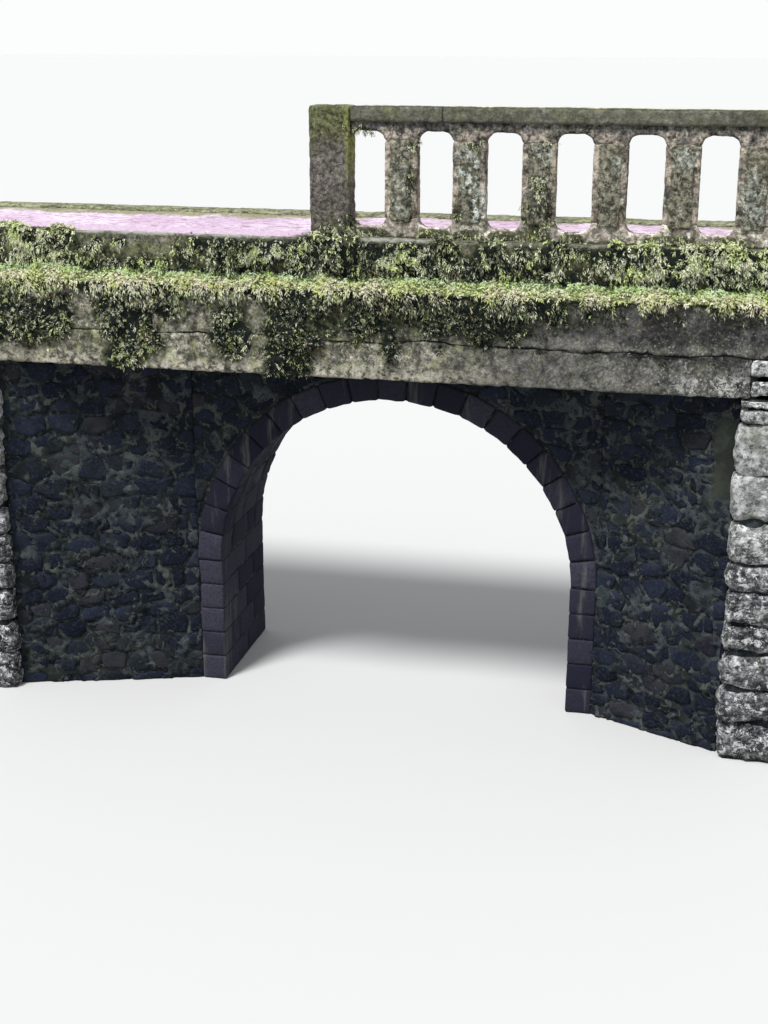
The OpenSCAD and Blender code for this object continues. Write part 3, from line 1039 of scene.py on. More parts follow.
def concrete_finish(name, colours, algae=0.45, buff=0.5, lichen=0.5, soot=0.5, top=(0.34, 0.33, 0.28),
                    topping=0.6,
                    pale=1.0, swing=0.6):
    """Old concrete: grey and buff, with pits, damp streaks, an olive film and lichen."""
    f = Finish(name, 0.9)
    grey = f.mix(f.band(f.noise(2.2, 4), 0.42, 0.60), shade(colours.concrete, 1.15 * pale),
                 shade(colours.concrete, 0.62 * pale))
    warm = f.mix(f.times(f.band(f.noise(5.5, 6, 0.6), 0.48, 0.62), buff), grey, (0.40, 0.34, 0.27))
    blotch = f.mix(f.times(f.band(f.noise(17, 6, 0.68, warp=0.5), 0.50, 0.60), 0.7), warm,
                   shade(colours.concrete, 0.36))
    light = f.mix(f.times(f.band(f.noise(23, 6, 0.7, warp=0.4), 0.53, 0.62), 0.65), blotch,
                  shade(colours.concrete, 1.9 * pale))
    speck = f.mix(f.times(f.band(f.noise(85, 3, 0.7), 0.50, 0.64), 0.65), light,
                  shade(colours.concrete, 0.28))
    streak = f.noise(1.0, 6, 0.62, f.stretched((11, 11, 1.1)))
    damp = f.mix(f.times(f.band(streak, 0.5, 0.68), soot), speck, (0.035, 0.037, 0.033))
    film = f.times(f.band(f.noise(3.1, 7, 0.62, warp=0.6), 0.43, 0.6), algae)
    olive = f.mix(film, damp, colours.algae[:])
    green = f.times(f.band(f.noise(14, 5, 0.6), 0.56, 0.66), algae * 0.9)
    olive = f.mix(green, olive, (0.26, 0.275, 0.10))
    up = f.times(f.band(f.upward(), 0.45, 0.85), f.band(f.noise(16, 5, 0.65), 0.3, 0.45))
    topped = f.mix(f.times(up, topping), olive, top)
    spots = f.times(f.band(f.noise(32, 5, 0.7), 0.60, 0.66), f.band(f.noise(3.7, 3), 0.45, 0.56))
    spotted = f.mix(f.times(spots, lichen), topped, (0.60, 0.62, 0.57))
    flecks = f.times(f.band(f.noise(120, 2, 0.6), 0.64, 0.70), 0.6 * lichen)
    flecked = f.mix(flecks, spotted, (0.66, 0.64, 0.58))
    pitted = f.mix(f.times(f.attribute("dent"), 0.75), flecked, (0.028, 0.028, 0.024))
    f.bump(f.noise(150, 4, 0.7), 0.5, 0.004)
    f.bump(f.noise(34, 6, 0.68), 0.8, 0.016)
    return f, f.mottled(pitted, 1 - swing, 1 + swing)


def mossy(f, colour, strength=0.9):
    """Darkens the concrete under its moss, with the painted cover."""
    moss = f.times(f.band(f.attribute("cover"), 0.05, 0.55), strength)
    stain = f.mix(f.band(f.noise(40, 5, 0.7), 0.42, 0.6), (0.022, 0.026, 0.015), (0.12, 0.13, 0.07))
    return f.mix(moss, colour, stain)


# Where along the beam its cold joint grows ragged
RAGGED = (0.9, 1.9)


def beam_finish(colours):
    """Edge beam: a paler lower edge, a dark cold joint and moss-dark hollows."""
    f, colour = concrete_finish("weathered_beam", colours, algae=0.3, buff=0.5, lichen=0.5, soot=0.4,
                                pale=2.4)
    waver = f.waver(0.09, 7, 4)
    height = f.plus(f.z, waver)
    low_edge = f.times(f.band(height, Z_BEAM + 0.03, Z_BEAM + 0.12, 1, 0),
                      f.band(f.noise(26, 6, 0.72), 0.42, 0.58, 0.0, 0.9))
    colour = f.mix(low_edge, colour, (0.80, 0.74, 0.61))
    yellow = f.times(f.band(f.noise(9, 6, 0.65, warp=0.5), 0.53, 0.60),
                     f.band(f.noise(50, 4, 0.7), 0.35, 0.6))
    colour = f.mix(f.times(yellow, 0.7), colour, (0.60, 0.61, 0.32))
    green = f.times(f.band(f.noise(6, 6, 0.65, warp=0.6), 0.56, 0.64), 0.55)
    colour = f.mix(green, colour, (0.10, 0.115, 0.045))
    grimy = f.times(f.band(f.noise(3.4, 6, 0.62, warp=0.9), 0.47, 0.60), 0.65)
    colour = f.mix(grimy, colour, (0.40, 0.42, 0.40), "MULTIPLY")
    greyer = f.band(f.plus(f.x, f.times(f.noise(2.5, 4), 0.8)), 0.7, 1.7)
    grey = f.mix(f.band(f.noise(7, 6, 0.7, warp=0.7), 0.40, 0.58), (0.20, 0.195, 0.185),
                 (0.062, 0.061, 0.066))
    colour = f.mix(f.times(greyer, 0.75), colour, f.mottled(grey, 0.45, 1.6, 45))
    broken = f.band(f.plus(f.x, f.times(f.noise(3, 4), 0.6)), HIGH.x - 0.85, HIGH.x - 0.45)
    crust = f.times(f.band(f.noise(15, 6, 0.78, warp=0.8), 0.51, 0.53),
                    f.band(height, Z_BEAM + 0.17, Z_BEAM + 0.09))
    colour = f.mix(f.times(crust, broken), colour, (0.80, 0.80, 0.76))
    holes = f.times(f.band(f.noise(24, 6, 0.78, warp=0.5), 0.46, 0.435), broken)
    colour = f.mix(f.times(holes, f.band(height, Z_CRACK + 0.02, Z_CRACK - 0.03)), colour,
                   (0.03, 0.03, 0.033))
    specks = f.times(f.band(f.noise(52, 4, 0.7), 0.585, 0.62), f.band(f.x, 1.3, 2.0, 0, 0.75))
    colour = f.mix(specks, colour, (0.56, 0.57, 0.53))
    upper = f.times(f.band(height, Z_CRACK + 0.02, Z_CRACK + 0.12), f.band(f.x, -0.9, 0.3, 0.15, 0.85))
    upper = f.times(upper, f.band(f.noise(5, 5, 0.65), 0.34, 0.52, 0.4, 1))
    colour = f.mix(upper, colour, (0.34, 0.34, 0.37), "MULTIPLY")
    below = f.times(f.band(f.attribute("joint"), -0.10, -0.02), f.band(f.attribute("joint"), 0.006, 0.0))
    below = f.times(below, f.band(f.noise(9, 6, 0.75, warp=0.6), 0.45, 0.52))
    colour = f.mix(f.times(below, f.band(f.x, 0.9, 2.2, 0.1, 0.85)), colour, (0.035, 0.034, 0.037))
    jitter = f.waver(0.075, 9, 6, 0.75)
    jag = f.times(f.minus(f.noise(24, 5, 0.8), 0.5), f.band(f.x, *RAGGED, 0.0, 0.11))
    jitter = f.plus(f.times(jitter, f.band(f.x, *RAGGED, 0.6, 1.5)), jag)
    crack = f.math("ABSOLUTE", f.plus(f.attribute("joint"), jitter))
    crack = f.times(crack, f.band(f.x, 1.1, 1.9, 1.0, 0.5))
    crack = f.times(f.band(crack, 0.003, 0.011, 1, 0), f.band(f.noise(4.6, 4), 0.44, 0.56, 0.0, 1))
    colour = f.mix(crack, colour, (0.010, 0.010, 0.010))
    return f.done(mossy(f, colour))


# Where along the plinth its pale front edge fades and dirt thickens on its top
DIRT_START = (0.50, 0.62)


def kerb_finish(colours):
    """Kerb and plinth: trodden pink grit on top, behind a thin pale front edge."""
    f, colour = concrete_finish("weathered_kerb", colours, algae=0.4, buff=0.3, lichen=0.5, soot=0.35,
                                top=(0.30, 0.30, 0.235), topping=0.8, pale=1.2)
    trodden = f.times(f.band(f.upward(), 0.6, 0.9), f.band(f.x, POST_LOW.x - 0.02, POST_LOW.x - 0.12))
    colour = f.mix(f.times(trodden, 0.94), colour, f.mottled(shade(colours.deck, 0.93), 0.82, 1.12, 40))
    film = f.times(f.band(f.noise(30, 6, 0.72), 0.46, 0.56), f.band(f.noise(5, 4), 0.38, 0.55))
    colour = f.mix(f.times(film, f.band(f.z, Z_PLINTH - 0.02, Z_PLINTH - 0.09, 0, 0.75)), colour,
                   (0.27, 0.30, 0.12))
    front = f.plus(f.y, f.waver(0.014, 30, 4))
    edge = f.times(f.band(front, Y_PLINTH + 0.012, Y_PLINTH + 0.022, 1, 0),
                  f.band(f.z, Z_PLINTH - 0.03, Z_PLINTH - 0.012))
    edge = f.times(edge, f.band(f.noise(11, 4), 0.38, 0.52, 0.2, 0.85))
    edge = f.times(edge, f.band(f.x, *DIRT_START, 1, 0.15))
    dirt = f.times(f.band(f.upward(), 0.4, 0.8), f.band(f.x, *DIRT_START, 0.25, 0.9))
    dirt = f.times(dirt, f.band(f.x, POST_LOW.x - 0.12, POST_LOW.x - 0.02))
    colour = f.mix(f.times(dirt, f.band(f.noise(8, 5, 0.7), 0.36, 0.56, 1, 0.55)), colour,
                   f.mix(f.band(f.noise(50, 4, 0.7), 0.42, 0.6), (0.045, 0.05, 0.025), (0.20, 0.21, 0.12)))
    colour = f.mix(edge, colour, (0.50, 0.50, 0.45))
    return f.done(mossy(f, colour, 0.95))


def post_finish(colours):
    """End posts: speckled purple-brown below, olive under the top and along one arris."""
    f, colour = concrete_finish("weathered_post", colours, algae=0.2, buff=0.15, lichen=0.55, soot=0.4,
                                top=(0.46, 0.44, 0.40), topping=0.8)
    purple = f.times(f.band(f.noise(3.0, 4), 0.3, 0.5), 0.62)
    colour = f.mix(purple, colour,
                   f.mix(f.band(f.noise(60, 4, 0.7), 0.42, 0.6), (0.21, 0.175, 0.17), (0.085, 0.07, 0.068)))
    waver = f.waver(0.3, 9, 5, 0.65)
    high = f.band(f.plus(f.z, waver), HIGH.z - 0.34, HIGH.z - 0.10)
    olive = f.mix(f.band(f.noise(38, 5, 0.7), 0.42, 0.6), (0.19, 0.205, 0.085), (0.075, 0.082, 0.03))
    colour = f.mix(f.times(high, 0.8), colour, olive)
    edge = f.plus(f.x, f.times(waver, 0.1))
    arris = f.times(f.band(edge, POST_HIGH.x - 0.035, POST_HIGH.x - 0.012),
                   f.band(f.z, HIGH.z - 0.62, HIGH.z - 0.2))
    colour = f.mix(f.times(arris, 0.8), colour, (0.36, 0.38, 0.13))
    fleck = f.band(f.noise(75, 3, 0.7), 0.60, 0.68)
    colour = f.mix(f.times(fleck, 0.6), colour, (0.44, 0.43, 0.38))
    foot = f.times(f.band(f.plus(f.z, waver), Z_PLINTH + 0.16, Z_PLINTH + 0.03), 0.7)
    colour = f.mix(foot, colour, f.mix(f.noise(45, 4, 0.7), (0.05, 0.056, 0.025), (0.20, 0.21, 0.10)))
    return f.done(f.mottled(colour, 0.5, 1.65, 34))


# Where a hairline crack runs down the rail
RAIL_CRACK_X = 0.60


def rail_finish(colours):
    """Top rail: olive-grey, with a thin bright edge of algae along its top."""
    f, colour = concrete_finish("weathered_rail", colours, algae=0.6, buff=0.1, lichen=0.2, soot=0.2,
                                top=(0.11, 0.115, 0.07), topping=0.85, swing=0.3)
    colour = f.mix(f.band(f.upward(), 0.4, 0.8, 0.4, 0), colour,
                   f.mottled((0.215, 0.218, 0.165), 0.5, 1.6, 25))
    crooked = f.plus(f.x, f.waver(0.03, 14, 4, 0.7))
    crack = f.band(f.math("ABSOLUTE", f.minus(crooked, RAIL_CRACK_X)), 0.002, 0.007, 1, 0)
    colour = f.mix(f.times(crack, 0.8), colour, (0.02, 0.02, 0.018))
    rail_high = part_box("top_rail")[1]
    back = f.plus(f.y, f.waver(0.14, 12, 5, 0.7))
    top = f.times(f.band(back, rail_high.y - 0.09, rail_high.y - 0.05), f.band(f.upward(), 0.4, 0.8))
    top = f.times(top, f.band(f.noise(5, 4), 0.35, 0.5, 0.5, 1))
    colour = f.mix(top, colour, f.mottled((0.86, 0.84, 0.56), 0.6, 1.2, 30))
    return f.done(colour)


def baluster_finish(colours):
    """Balusters: dark mossy raised panels between pale buff strips."""
    f, colour = concrete_finish("weathered_baluster", colours, algae=0.15, buff=0.95, lichen=0.3, soot=0.25)
    colour = f.mix(f.times(f.band(f.noise(5, 5), 0.36, 0.58), 0.6), colour, (0.56, 0.47, 0.39))
    middle = (FOOT_LOW.y + FOOT_HIGH.y) / 2
    depth = f.math("ABSOLUTE", f.minus(f.y, middle))
    box_low, box_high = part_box(BALUSTER_NAMES[0])
    reach = (box_high.y - box_low.y) / 2
    ragged = f.waver(0.012, 34, 4, 0.7)
    panel = f.band(f.plus(depth, ragged), reach - 0.013, reach - 0.006)
    dark = f.mix(f.band(f.noise(38, 5, 0.7), 0.42, 0.58), (0.055, 0.058, 0.038), (0.27, 0.26, 0.20))
    dark = f.mix(f.band(f.noise(11, 5, 0.7), 0.48, 0.58), dark, (0.20, 0.19, 0.135))
    dark = f.mix(f.times(f.band(f.noise(110, 2, 0.7), 0.58, 0.68), 0.8), dark, (0.48, 0.48, 0.38))
    colour = f.mix(f.times(panel, 0.9), colour, dark)
    lichen = f.times(f.band(f.noise(19, 5, 0.75), 0.48, 0.54), f.attribute("lichen"))
    colour = f.mix(f.times(lichen, 0.95), colour, (0.64, 0.71, 0.66))
    # Dark moss and painted shade under the tufts, from the mark painted as shade.
    under = f.attribute("shade")
    colour = f.mix(f.times(under, 0.6), colour, (0.03, 0.032, 0.022))
    pits = f.times(f.attribute("dent"), 0.7)
    return f.done(f.mottled(f.mix(pits, colour, (0.03, 0.03, 0.026)), 0.48, 2.1, 30))


def band_finish(colours):
    """Foot band: buff, pale and trodden on top, with dark moss in places."""
    f, colour = concrete_finish("weathered_foot", colours, algae=0.2, buff=1.0, lichen=0.4, soot=0.25,
                                top=(0.74, 0.65, 0.60), topping=0.9, pale=2.7, swing=0.95)
    colour = f.mix(f.band(f.noise(6, 4), 0.3, 0.55, 0.1, 0.5), colour, (0.48, 0.42, 0.36))
    moss = f.times(f.band(f.attribute("cover"), 0.15, 0.6), 0.85)
    colour = f.mottled(colour, 0.55, 1.9, 22)
    return f.done(f.mix(moss, colour, f.mix(f.noise(45, 4, 0.7), (0.035, 0.04, 0.02), (0.16, 0.17, 0.08))))


def header_finish(colours):
    """Header band: dark from soot and from painted shade under the rail."""
    f, colour = concrete_finish("header_soot_and_shade", colours, algae=0.35, buff=0.35, lichen=0.25, soot=0.6)
    # Soot and painted shade of the rail's overhang: the whole band is mixed towards near-black.
    colour = f.mix(f.band(f.noise(8, 5, 0.65), 0.36, 0.6, 0.85, 0.45), colour, (0.075, 0.072, 0.075))
    low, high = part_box(BALUSTER_NAMES[0])
    next_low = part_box(BALUSTER_NAMES[1])[0]
    first, pitch = (low.x + high.x) / 2, abs(next_low.x - low.x)
    aside = f.math("PINGPONG", f.minus(f.x, first), pitch / 2)
    over = f.times(f.band(aside, 0.11, 0.17, 1, 0), f.band(f.noise(13, 5, 0.7), 0.40, 0.56))
    over = f.times(over, f.band(f.z, HEADER_HIGH.z - 0.02, HEADER_HIGH.z - 0.07))
    colour = f.mix(f.times(over, 0.75), colour, (0.34, 0.29, 0.24))
    return f.done(f.mottled(f.mottled(colour, 0.4, 2.4, 30), 0.65, 1.6, 12))


def moss_finish(colours):
    """Moss: dark at the root and bright at the tip, lit or dim as each sprig was painted."""
    f = Finish("leafy_moss", 0.8, 0.08)
    tip, tone, light = f.attribute("leaf_tip"), f.attribute("leaf_tone"), f.attribute("leaf_light")
    # Lit and shaded copies of the moss colour: the painted leaf light mixes from the dim copy to the bright
    # one.
    bright = f.mix(f.band(tone, 0.16, 0.54), (0.66, 0.82, 0.29), colours.moss_tip[:])
    lime = f.times(f.band(f.noise(7, 4), 0.50, 0.60), 0.5)
    bright = f.mix(lime, bright, (0.78, 0.94, 0.24))
    dim = f.mix(f.band(tone, 0.52, 0.90), (0.011, 0.014, 0.019), (0.36, 0.40, 0.20))
    colour = f.mix(f.band(light, 0.0, 0.85), dim, bright)
    brown = f.times(f.band(f.noise(13, 3), 0.58, 0.66), 0.3)
    colour = f.mix(brown, colour, (0.50, 0.36, 0.22))
    # Painted highlight: pale leaves only where the sprig is painted lit.
    white = f.times(f.band(f.noise(9, 4, 0.6), 0.55, 0.64), f.times(light, 0.2))
    colour = f.mix(white, colour, (0.86, 0.90, 0.78))
    on_ledge = f.times(f.band(f.z, Z_LEDGE - 0.07, Z_LEDGE - 0.02),
                      f.band(f.z, Z_LEDGE_BACK + 0.06, Z_LEDGE_BACK + 0.03))
    depth = f.plus(f.y, f.waver(0.12, 6, 4))
    tint = f.mix(f.band(depth, Y_BEAM + 0.01, Y_BEAM + 0.06), (1.0, 0.93, 0.94), (0.87, 1.0, 0.88))
    colour = f.mix(f.times(on_ledge, 0.85), colour, tint, "MULTIPLY")
    # Dark roots, partly the moss's own colour and partly painted shade, which the painted light lifts.
    reach = f.plus(tip, f.times(f.math("POWER", light, 3), 0.5))
    return f.done(f.mix(f.band(reach, 0.34, 0.80), shade(colours.moss_root, 0.9), colour))


def moss_bed_finish(colours):
    """The moss's own body: dark, with a bright nap where it is lit."""
    f = Finish("moss_bed", 0.95, 0.03)
    colour = f.mix(f.noise(60, 4, 0.7), shade(colours.moss_root, 0.6), shade(colours.moss_root, 4.0))
    # Painted light: where the bed is marked lit it turns to a bright lawn colour.
    lawn = f.mix(f.band(f.noise(75, 5, 0.75), 0.46, 0.62), (0.12, 0.15, 0.04), (0.90, 0.98, 0.48))
    colour = f.mix(f.band(f.attribute("leaf_light"), 0.25, 0.8), colour, lawn)
    f.bump(f.noise(90, 4, 0.7), 0.8, 0.015)
    return f.done(colour)


def rubble_finish(colours):
    """Blue-grey wall stones, each a little different, with mortar smears and green."""
    f = Finish("rubble_stone", 0.85, 0.06)
    tone = f.attribute("tone")
    base = f.mix(tone, shade(colours.rubble, 0.45), shade(colours.rubble, 1.5))
    base = f.mix(f.times(f.band(tone, 0.78, 0.9), 0.7), base, (0.052, 0.047, 0.045))
    base = f.mix(f.times(f.band(f.noise(6, 4), 0.40, 0.62), 0.6), base, shade(colours.rubble, 0.4))
    grain = f.mix(f.times(f.band(f.noise(55, 5, 0.7), 0.5, 0.66), 0.6), base, shade(colours.rubble, 2.2))
    smear = f.band(f.noise(9, 6, 0.66, warp=0.7), 0.56, 0.62)
    smeared = f.mix(f.times(smear, 0.45), grain, shade(colours.mortar, 0.8))
    green = f.band(f.noise(2.4, 5), 0.5, 0.68)
    colour = f.mix(f.times(green, 0.25), smeared, (0.050, 0.062, 0.048))
    f.bump(f.noise(120, 4, 0.7), 0.4, 0.004)
    f.bump(f.noise(24, 6, 0.7), 0.7, 0.014)
    return f.done(colour)


def mortar_finish(colours):
    """Lime mortar smeared between the stones."""
    f = Finish("lime_mortar", 0.95, 0.04)
    colour = f.mix(f.band(f.noise(5, 6, 0.65, warp=0.8), 0.42, 0.60), shade(colours.mortar, 0.35),
                   shade(colours.mortar, 1.2))
    colour = f.mix(f.times(f.band(f.noise(28, 5, 0.7), 0.5, 0.60), 0.7), colour,
                   shade(colours.mortar, 0.25))
    colour = f.mix(f.times(f.band(f.noise(2.0, 4), 0.50, 0.62), 0.4), colour, (0.045, 0.058, 0.044))
    flakes = f.times(f.band(f.noise(11, 6, 0.7, warp=1.2), 0.54, 0.58), 0.7)
    colour = f.mix(flakes, colour, (0.115, 0.130, 0.118))
    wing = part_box("wing_wall_right")[1]
    ragged = f.plus(f.x, f.waver(0.16, 9, 5, 0.7))
    patch = f.times(f.band(ragged, wing.x - PATCH_WIDTH, wing.x - PATCH_WIDTH + 0.03),
                   f.band(f.z, PATCH_LOW, PATCH_LOW + 0.05))
    patch = f.times(patch, f.band(f.z, PATCH_HIGH, PATCH_HIGH - 0.05))
    patch = f.times(patch, f.band(f.y, Y_ARCH - 0.04, Y_ARCH - 0.08))
    colour = f.mix(patch, colour,
                   f.mix(f.band(f.noise(5, 4), 0.4, 0.6), (0.032, 0.038, 0.034), (0.058, 0.066, 0.054)))
    f.bump(f.noise(70, 5, 0.7), 0.6, 0.008)
    return f.done(colour)


def dressed_finish(colours):
    """Dressed arch stones: dark purple-grey, with pale lime runs."""
    f = Finish("arch_stone", 0.85, 0.06)
    # The dark end of the arch stones' tones is partly painted shade under the beam.
    colour = f.mix(f.attribute("tone"), (0.023, 0.024, 0.043), colours.arch_stone[:])
    colour = f.mix(f.times(f.band(f.noise(60, 4, 0.7), 0.45, 0.65), 0.6), colour, (0.025, 0.025, 0.03))
    runs = f.band(f.noise(1.0, 6, 0.6, f.stretched((9, 9, 0.9))), 0.56, 0.68)
    colour = f.mix(f.times(runs, 0.5), colour, (0.19, 0.19, 0.185))
    f.bump(f.noise(130, 4, 0.7), 0.35, 0.004)
    f.bump(f.noise(22, 5, 0.65), 0.6, 0.012)
    return f.done(colour)


# Below this height the pillars are damp and dark
DAMP_TOP = 1.75


def block_finish(colours):
    """Rock-faced pillar blocks: pale grey, with white lichen and dark pits."""
    f = Finish("pillar_block", 0.88)
    rough = f.band(f.attribute("tone"), 0.30, 0.45, 0.5, 1.0)
    base = f.mix(f.attribute("tone"), shade(colours.block, 0.85), shade(colours.block, 1.25))
    dark = f.times(f.band(f.noise(7, 6, 0.72, warp=0.6), 0.46, 0.55), 0.8)
    base = f.mix(f.times(dark, rough), base, shade(colours.block, 0.2))
    # Painted shadow: sharp-edged dark patches under the layered ledges of the rough blocks.
    layers = f.minus(f.noise(1.0, 6, 0.72, f.stretched((5, 5, 12))), 0.5)
    painted_ledge_shadow = f.times(f.band(layers, -0.010, 0.002), f.band(layers, 0.015, 0.085, 1, 0))
    painted_ledge_shadow = f.times(f.times(painted_ledge_shadow, f.band(f.noise(4, 4), 0.42, 0.52)), rough)
    base = f.mix(f.times(f.band(f.noise(27, 6, 0.78), 0.50, 0.57), 0.7), base, (0.045, 0.048, 0.052))
    white = f.times(f.band(f.noise(18, 7, 0.78, warp=0.4), 0.50, 0.56),
                    f.band(f.noise(4, 5, 0.65), 0.44, 0.54))
    colour = f.mix(f.times(white, f.times(rough, 0.9)), base, (0.95, 0.97, 0.95))
    colour = f.mottled(colour, 0.55, 1.5, 11)
    deep = f.plus(f.z, f.waver(1.2, 4, 5, 0.7))
    grime = f.times(f.band(deep, DAMP_TOP, DAMP_TOP - 0.7),
                    f.band(f.noise(15, 6, 0.75), 0.44, 0.56, 0.97, 0.45))
    colour = f.mix(grime, colour, (0.17, 0.18, 0.20), "MULTIPLY")
    glint = f.times(f.band(f.noise(21, 6, 0.78, warp=0.4), 0.535, 0.57), rough)
    colour = f.mix(f.times(glint, 0.85), colour, (1.0, 1.0, 1.0))
    # The painted ledge shadow is strongest low on the pillar.
    painted_ledge_shadow = f.times(painted_ledge_shadow, f.band(deep, DAMP_TOP, DAMP_TOP - 0.7, 0.6, 0.97))
    colour = f.mix(painted_ledge_shadow, colour, (0.016, 0.017, 0.020))
    green = f.band(f.noise(2.7, 5, 0.6), 0.54, 0.66)
    colour = f.mix(f.times(green, f.band(f.attribute("tone"), 0.30, 0.45, 0.6, 0.2)), colour,
                   (0.16, 0.175, 0.11))
    colour = f.mix(f.times(f.attribute("dent"), 0.8), colour, (0.035, 0.037, 0.04))
    f.bump(f.noise(150, 4, 0.7), 0.5, 0.005)
    f.bump(f.noise(38, 6, 0.7), 0.8, 0.016)
    return f.done(colour)


def deck_finish(colours):
    """Trodden pink-grey grit with darker specks and a mossy far margin."""
    f = Finish("deck_grit", 0.95)
    colour = f.mix(f.band(f.noise(2.5, 5), 0.35, 0.65), shade(colours.deck, 1.22),
                   shade(colours.deck, 0.86))
    dark = f.band(f.noise(1.0, 6, 0.7, f.stretched((14, 26, 14))), 0.51, 0.59)
    colour = f.mix(f.times(dark, 0.8), colour, (0.50, 0.28, 0.43))
    colour = f.mix(f.times(f.band(f.noise(70, 4, 0.7), 0.54, 0.64), 0.4), colour, (0.44, 0.30, 0.38))
    colour = f.mix(f.times(f.band(f.cells(120), 0.0, 0.35, 1, 0), 0.4), colour, (0.86, 0.80, 0.83))
    waver = f.waver(0.7, 4, 5, 0.65)
    margin = f.plus(f.y, waver)
    side = f.band(f.x, -0.9, 0.1, 0.36, 0.52)
    edge = f.band(f.minus(margin, side), -0.08, 0.08)
    moss = f.mix(f.band(f.noise(48, 5, 0.7), 0.42, 0.6), (0.17, 0.19, 0.06), (0.46, 0.49, 0.20))
    colour = f.mix(f.times(edge, 0.85), colour, moss)
    colour = f.mix(f.times(f.attribute("dent"), 0.5), colour, (0.30, 0.25, 0.24))
    f.bump(f.noise(140, 4, 0.7), 0.6, 0.006)
    f.bump(f.noise(18, 5, 0.6), 0.5, 0.015)
    return f.done(colour)


def far_finish(colours):
    """The far beam and kerb: damp concrete under a film of algae."""
    f, colour = concrete_finish("weathered_far_edge", colours, algae=0.6, buff=0.4, lichen=0.4, soot=0.6,
                                top=(0.36, 0.37, 0.22), topping=0.75)
    return f.done(colour)


FINISH_MAKERS = {
    "beam": beam_finish, "kerb": kerb_finish, "post": post_finish, "rail": rail_finish,
    "baluster": baluster_finish, "band": band_finish, "header": header_finish, "far": far_finish,
    "moss": moss_finish, "moss_bed": moss_bed_finish, "rubble": rubble_finish, "mortar": mortar_finish,
    "dressed": dressed_finish, "block": block_finish, "deck": deck_finish,
}
MADE_FINISHES = {}


def finish(name):
    """The finish of that name, made when it is first asked for."""
    if name not in MADE_FINISHES:
        MADE_FINISHES[name] = FINISH_MAKERS[name](bpy.context.scene.bridge_colours)
    return MADE_FINISHES[name]


# Operators

def rubble_face(name, corner, along, width, seed, sizes, cuts=(), spacing=0.045, pointing=None, **smears):
    """The stones of one wall from its foot up to the beam, with the mortar between them."""
    pile = MeshPile()
    wall_face(pile, corner, along, width, Z_BEAM, seed, sizes, cuts, spacing)
    install(pile.piece(name), "rubble")
    mortar_smears(pointing or name + "_pointing", corner, along, width, Z_BEAM, seed + 60, **smears)


class BRIDGE_OT_walls(bpy.types.Operator):
    """Lays the rubble stones over the wing walls, the headwalls and the abutments"""
    bl_idname = "bridge.walls"
    bl_label = "Rubble walls"

    def execute(self, context):
        sizes = context.scene.bridge_sizes
        for node in ("abutment_left", "abutment_right", "wing_wall_left", "wing_wall_right",
                     "headwall_near", "headwall_far", "arch_fill", "deck_bed"):
            give_finish(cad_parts[node], "mortar")
        for side, node, name, seed in ((-1, "wing_wall_left", "rubble_wing_left", 11),
                                       (1, "wing_wall_right", "rubble_wing_right", 12)):
            low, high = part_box(node)
            inner = np.array([high.x if side < 0 else low.x, high.y, 0.0])
            outer = np.array([low.x if side < 0 else high.x, low.y, 0.0])
            start, end = (outer, inner) if side < 0 else (inner, outer)
            run = end - start
            length = np.linalg.norm(run)
            patch = (length - PATCH_WIDTH, PATCH_LOW, PATCH_HIGH) if side > 0 else None
            cuts = (outside_patch(*patch),) if patch else ()
            rubble_face(name, start, run, length, seed, sizes, cuts, patch=patch)
        arch = outside_circle((ARCH_OUT, SPRING_Z), ARCH_OUT)
        gap = outside_box(0, 2 * ARCH_OUT, SPRING_Z)
        rubble_face("rubble_headwall_near", (ARCH_X - ARCH_OUT, Y_ARCH, 0.0), (1, 0, 0), 2 * ARCH_OUT, 13,
                    sizes,
                    (gap, arch), pointing="rubble_headwall_pointing", clear=ring_distance(ARCH_OUT))
        width = HIGH.x - LOW.x
        from_right = HIGH.x - (ARCH_X + ARCH_OUT)
        far_arch = outside_circle((from_right + ARCH_OUT, SPRING_Z), ARCH_OUT)
        far_gap = outside_box(from_right, from_right + 2 * ARCH_OUT, SPRING_Z)
        rubble_face("rubble_far_face", (HIGH.x, Y_BACK, 0.0), (-1, 0, 0), width, 14, sizes,
                    (far_gap, far_arch), 0.075,
                    "rubble_far_pointing", step=0.032, clear=ring_distance(from_right + ARCH_OUT))
        for name, corner, along, seed in (
                ("rubble_end_left", (LOW.x, Y_BACK, 0.0), (0, -1, 0), 15),
                ("rubble_end_right", (HIGH.x, Y_ARCH, 0.0), (0, 1, 0), 16)):
            rubble_face(name, corner, along, Y_BACK - Y_ARCH, seed, sizes, step=0.03)
        return {"FINISHED"}


def bend_to_arch(local, start_angle, inner, y0):
    """Turns a block's (round, across, out) corners into a stone of the arch."""
    angle = start_angle + local[:, 0]
    radius = inner + local[:, 2]
    x, z = ARCH_X - np.cos(angle) * radius, SPRING_Z + np.sin(angle) * radius
    return np.column_stack([x, y0 + local[:, 1], z])


def weather(points, centre, amount, seed):
    """Moves points in and out from a centre by noise, as weathered stone."""
    away = points - centre
    away = away / np.maximum(np.linalg.norm(away, axis=1, keepdims=True), 1e-9)
    shift = (rough_noise(points, 0.09, seed) - 0.5) * 2 * amount
    return points + away * shift[:, None]


# Joints between arch stones along and round the vault, and how far a ring stands out
STONE_JOINT, ARC_JOINT, RING_PROUD = 0.006, 0.007, 0.02
# Courses in a pier, and the joint between its stones
PIER_COURSES, PIER_JOINT = 5, 0.007


def arch_stone(pile, index, y0, depth, random, radius, proud, step=0.05):
    """One wedge of the arch, from the inner face to the ring's back."""
    turn = math.pi / ARCH_STONES
    gap = ARC_JOINT / ARCH_R
    arc = (turn - gap) * ARCH_R
    verts, faces, _ = rounded_block((arc, depth, RING_T + proud), radius, step)
    verts[:, 0] /= ARCH_R
    start = index * turn + gap / 2
    world = bend_to_arch(verts, start, ARCH_R - proud + random.uniform(-0.003, 0.003), y0)
    pile.add(weather(world, world.mean(axis=0), 0.013, 71), faces, random.rand())


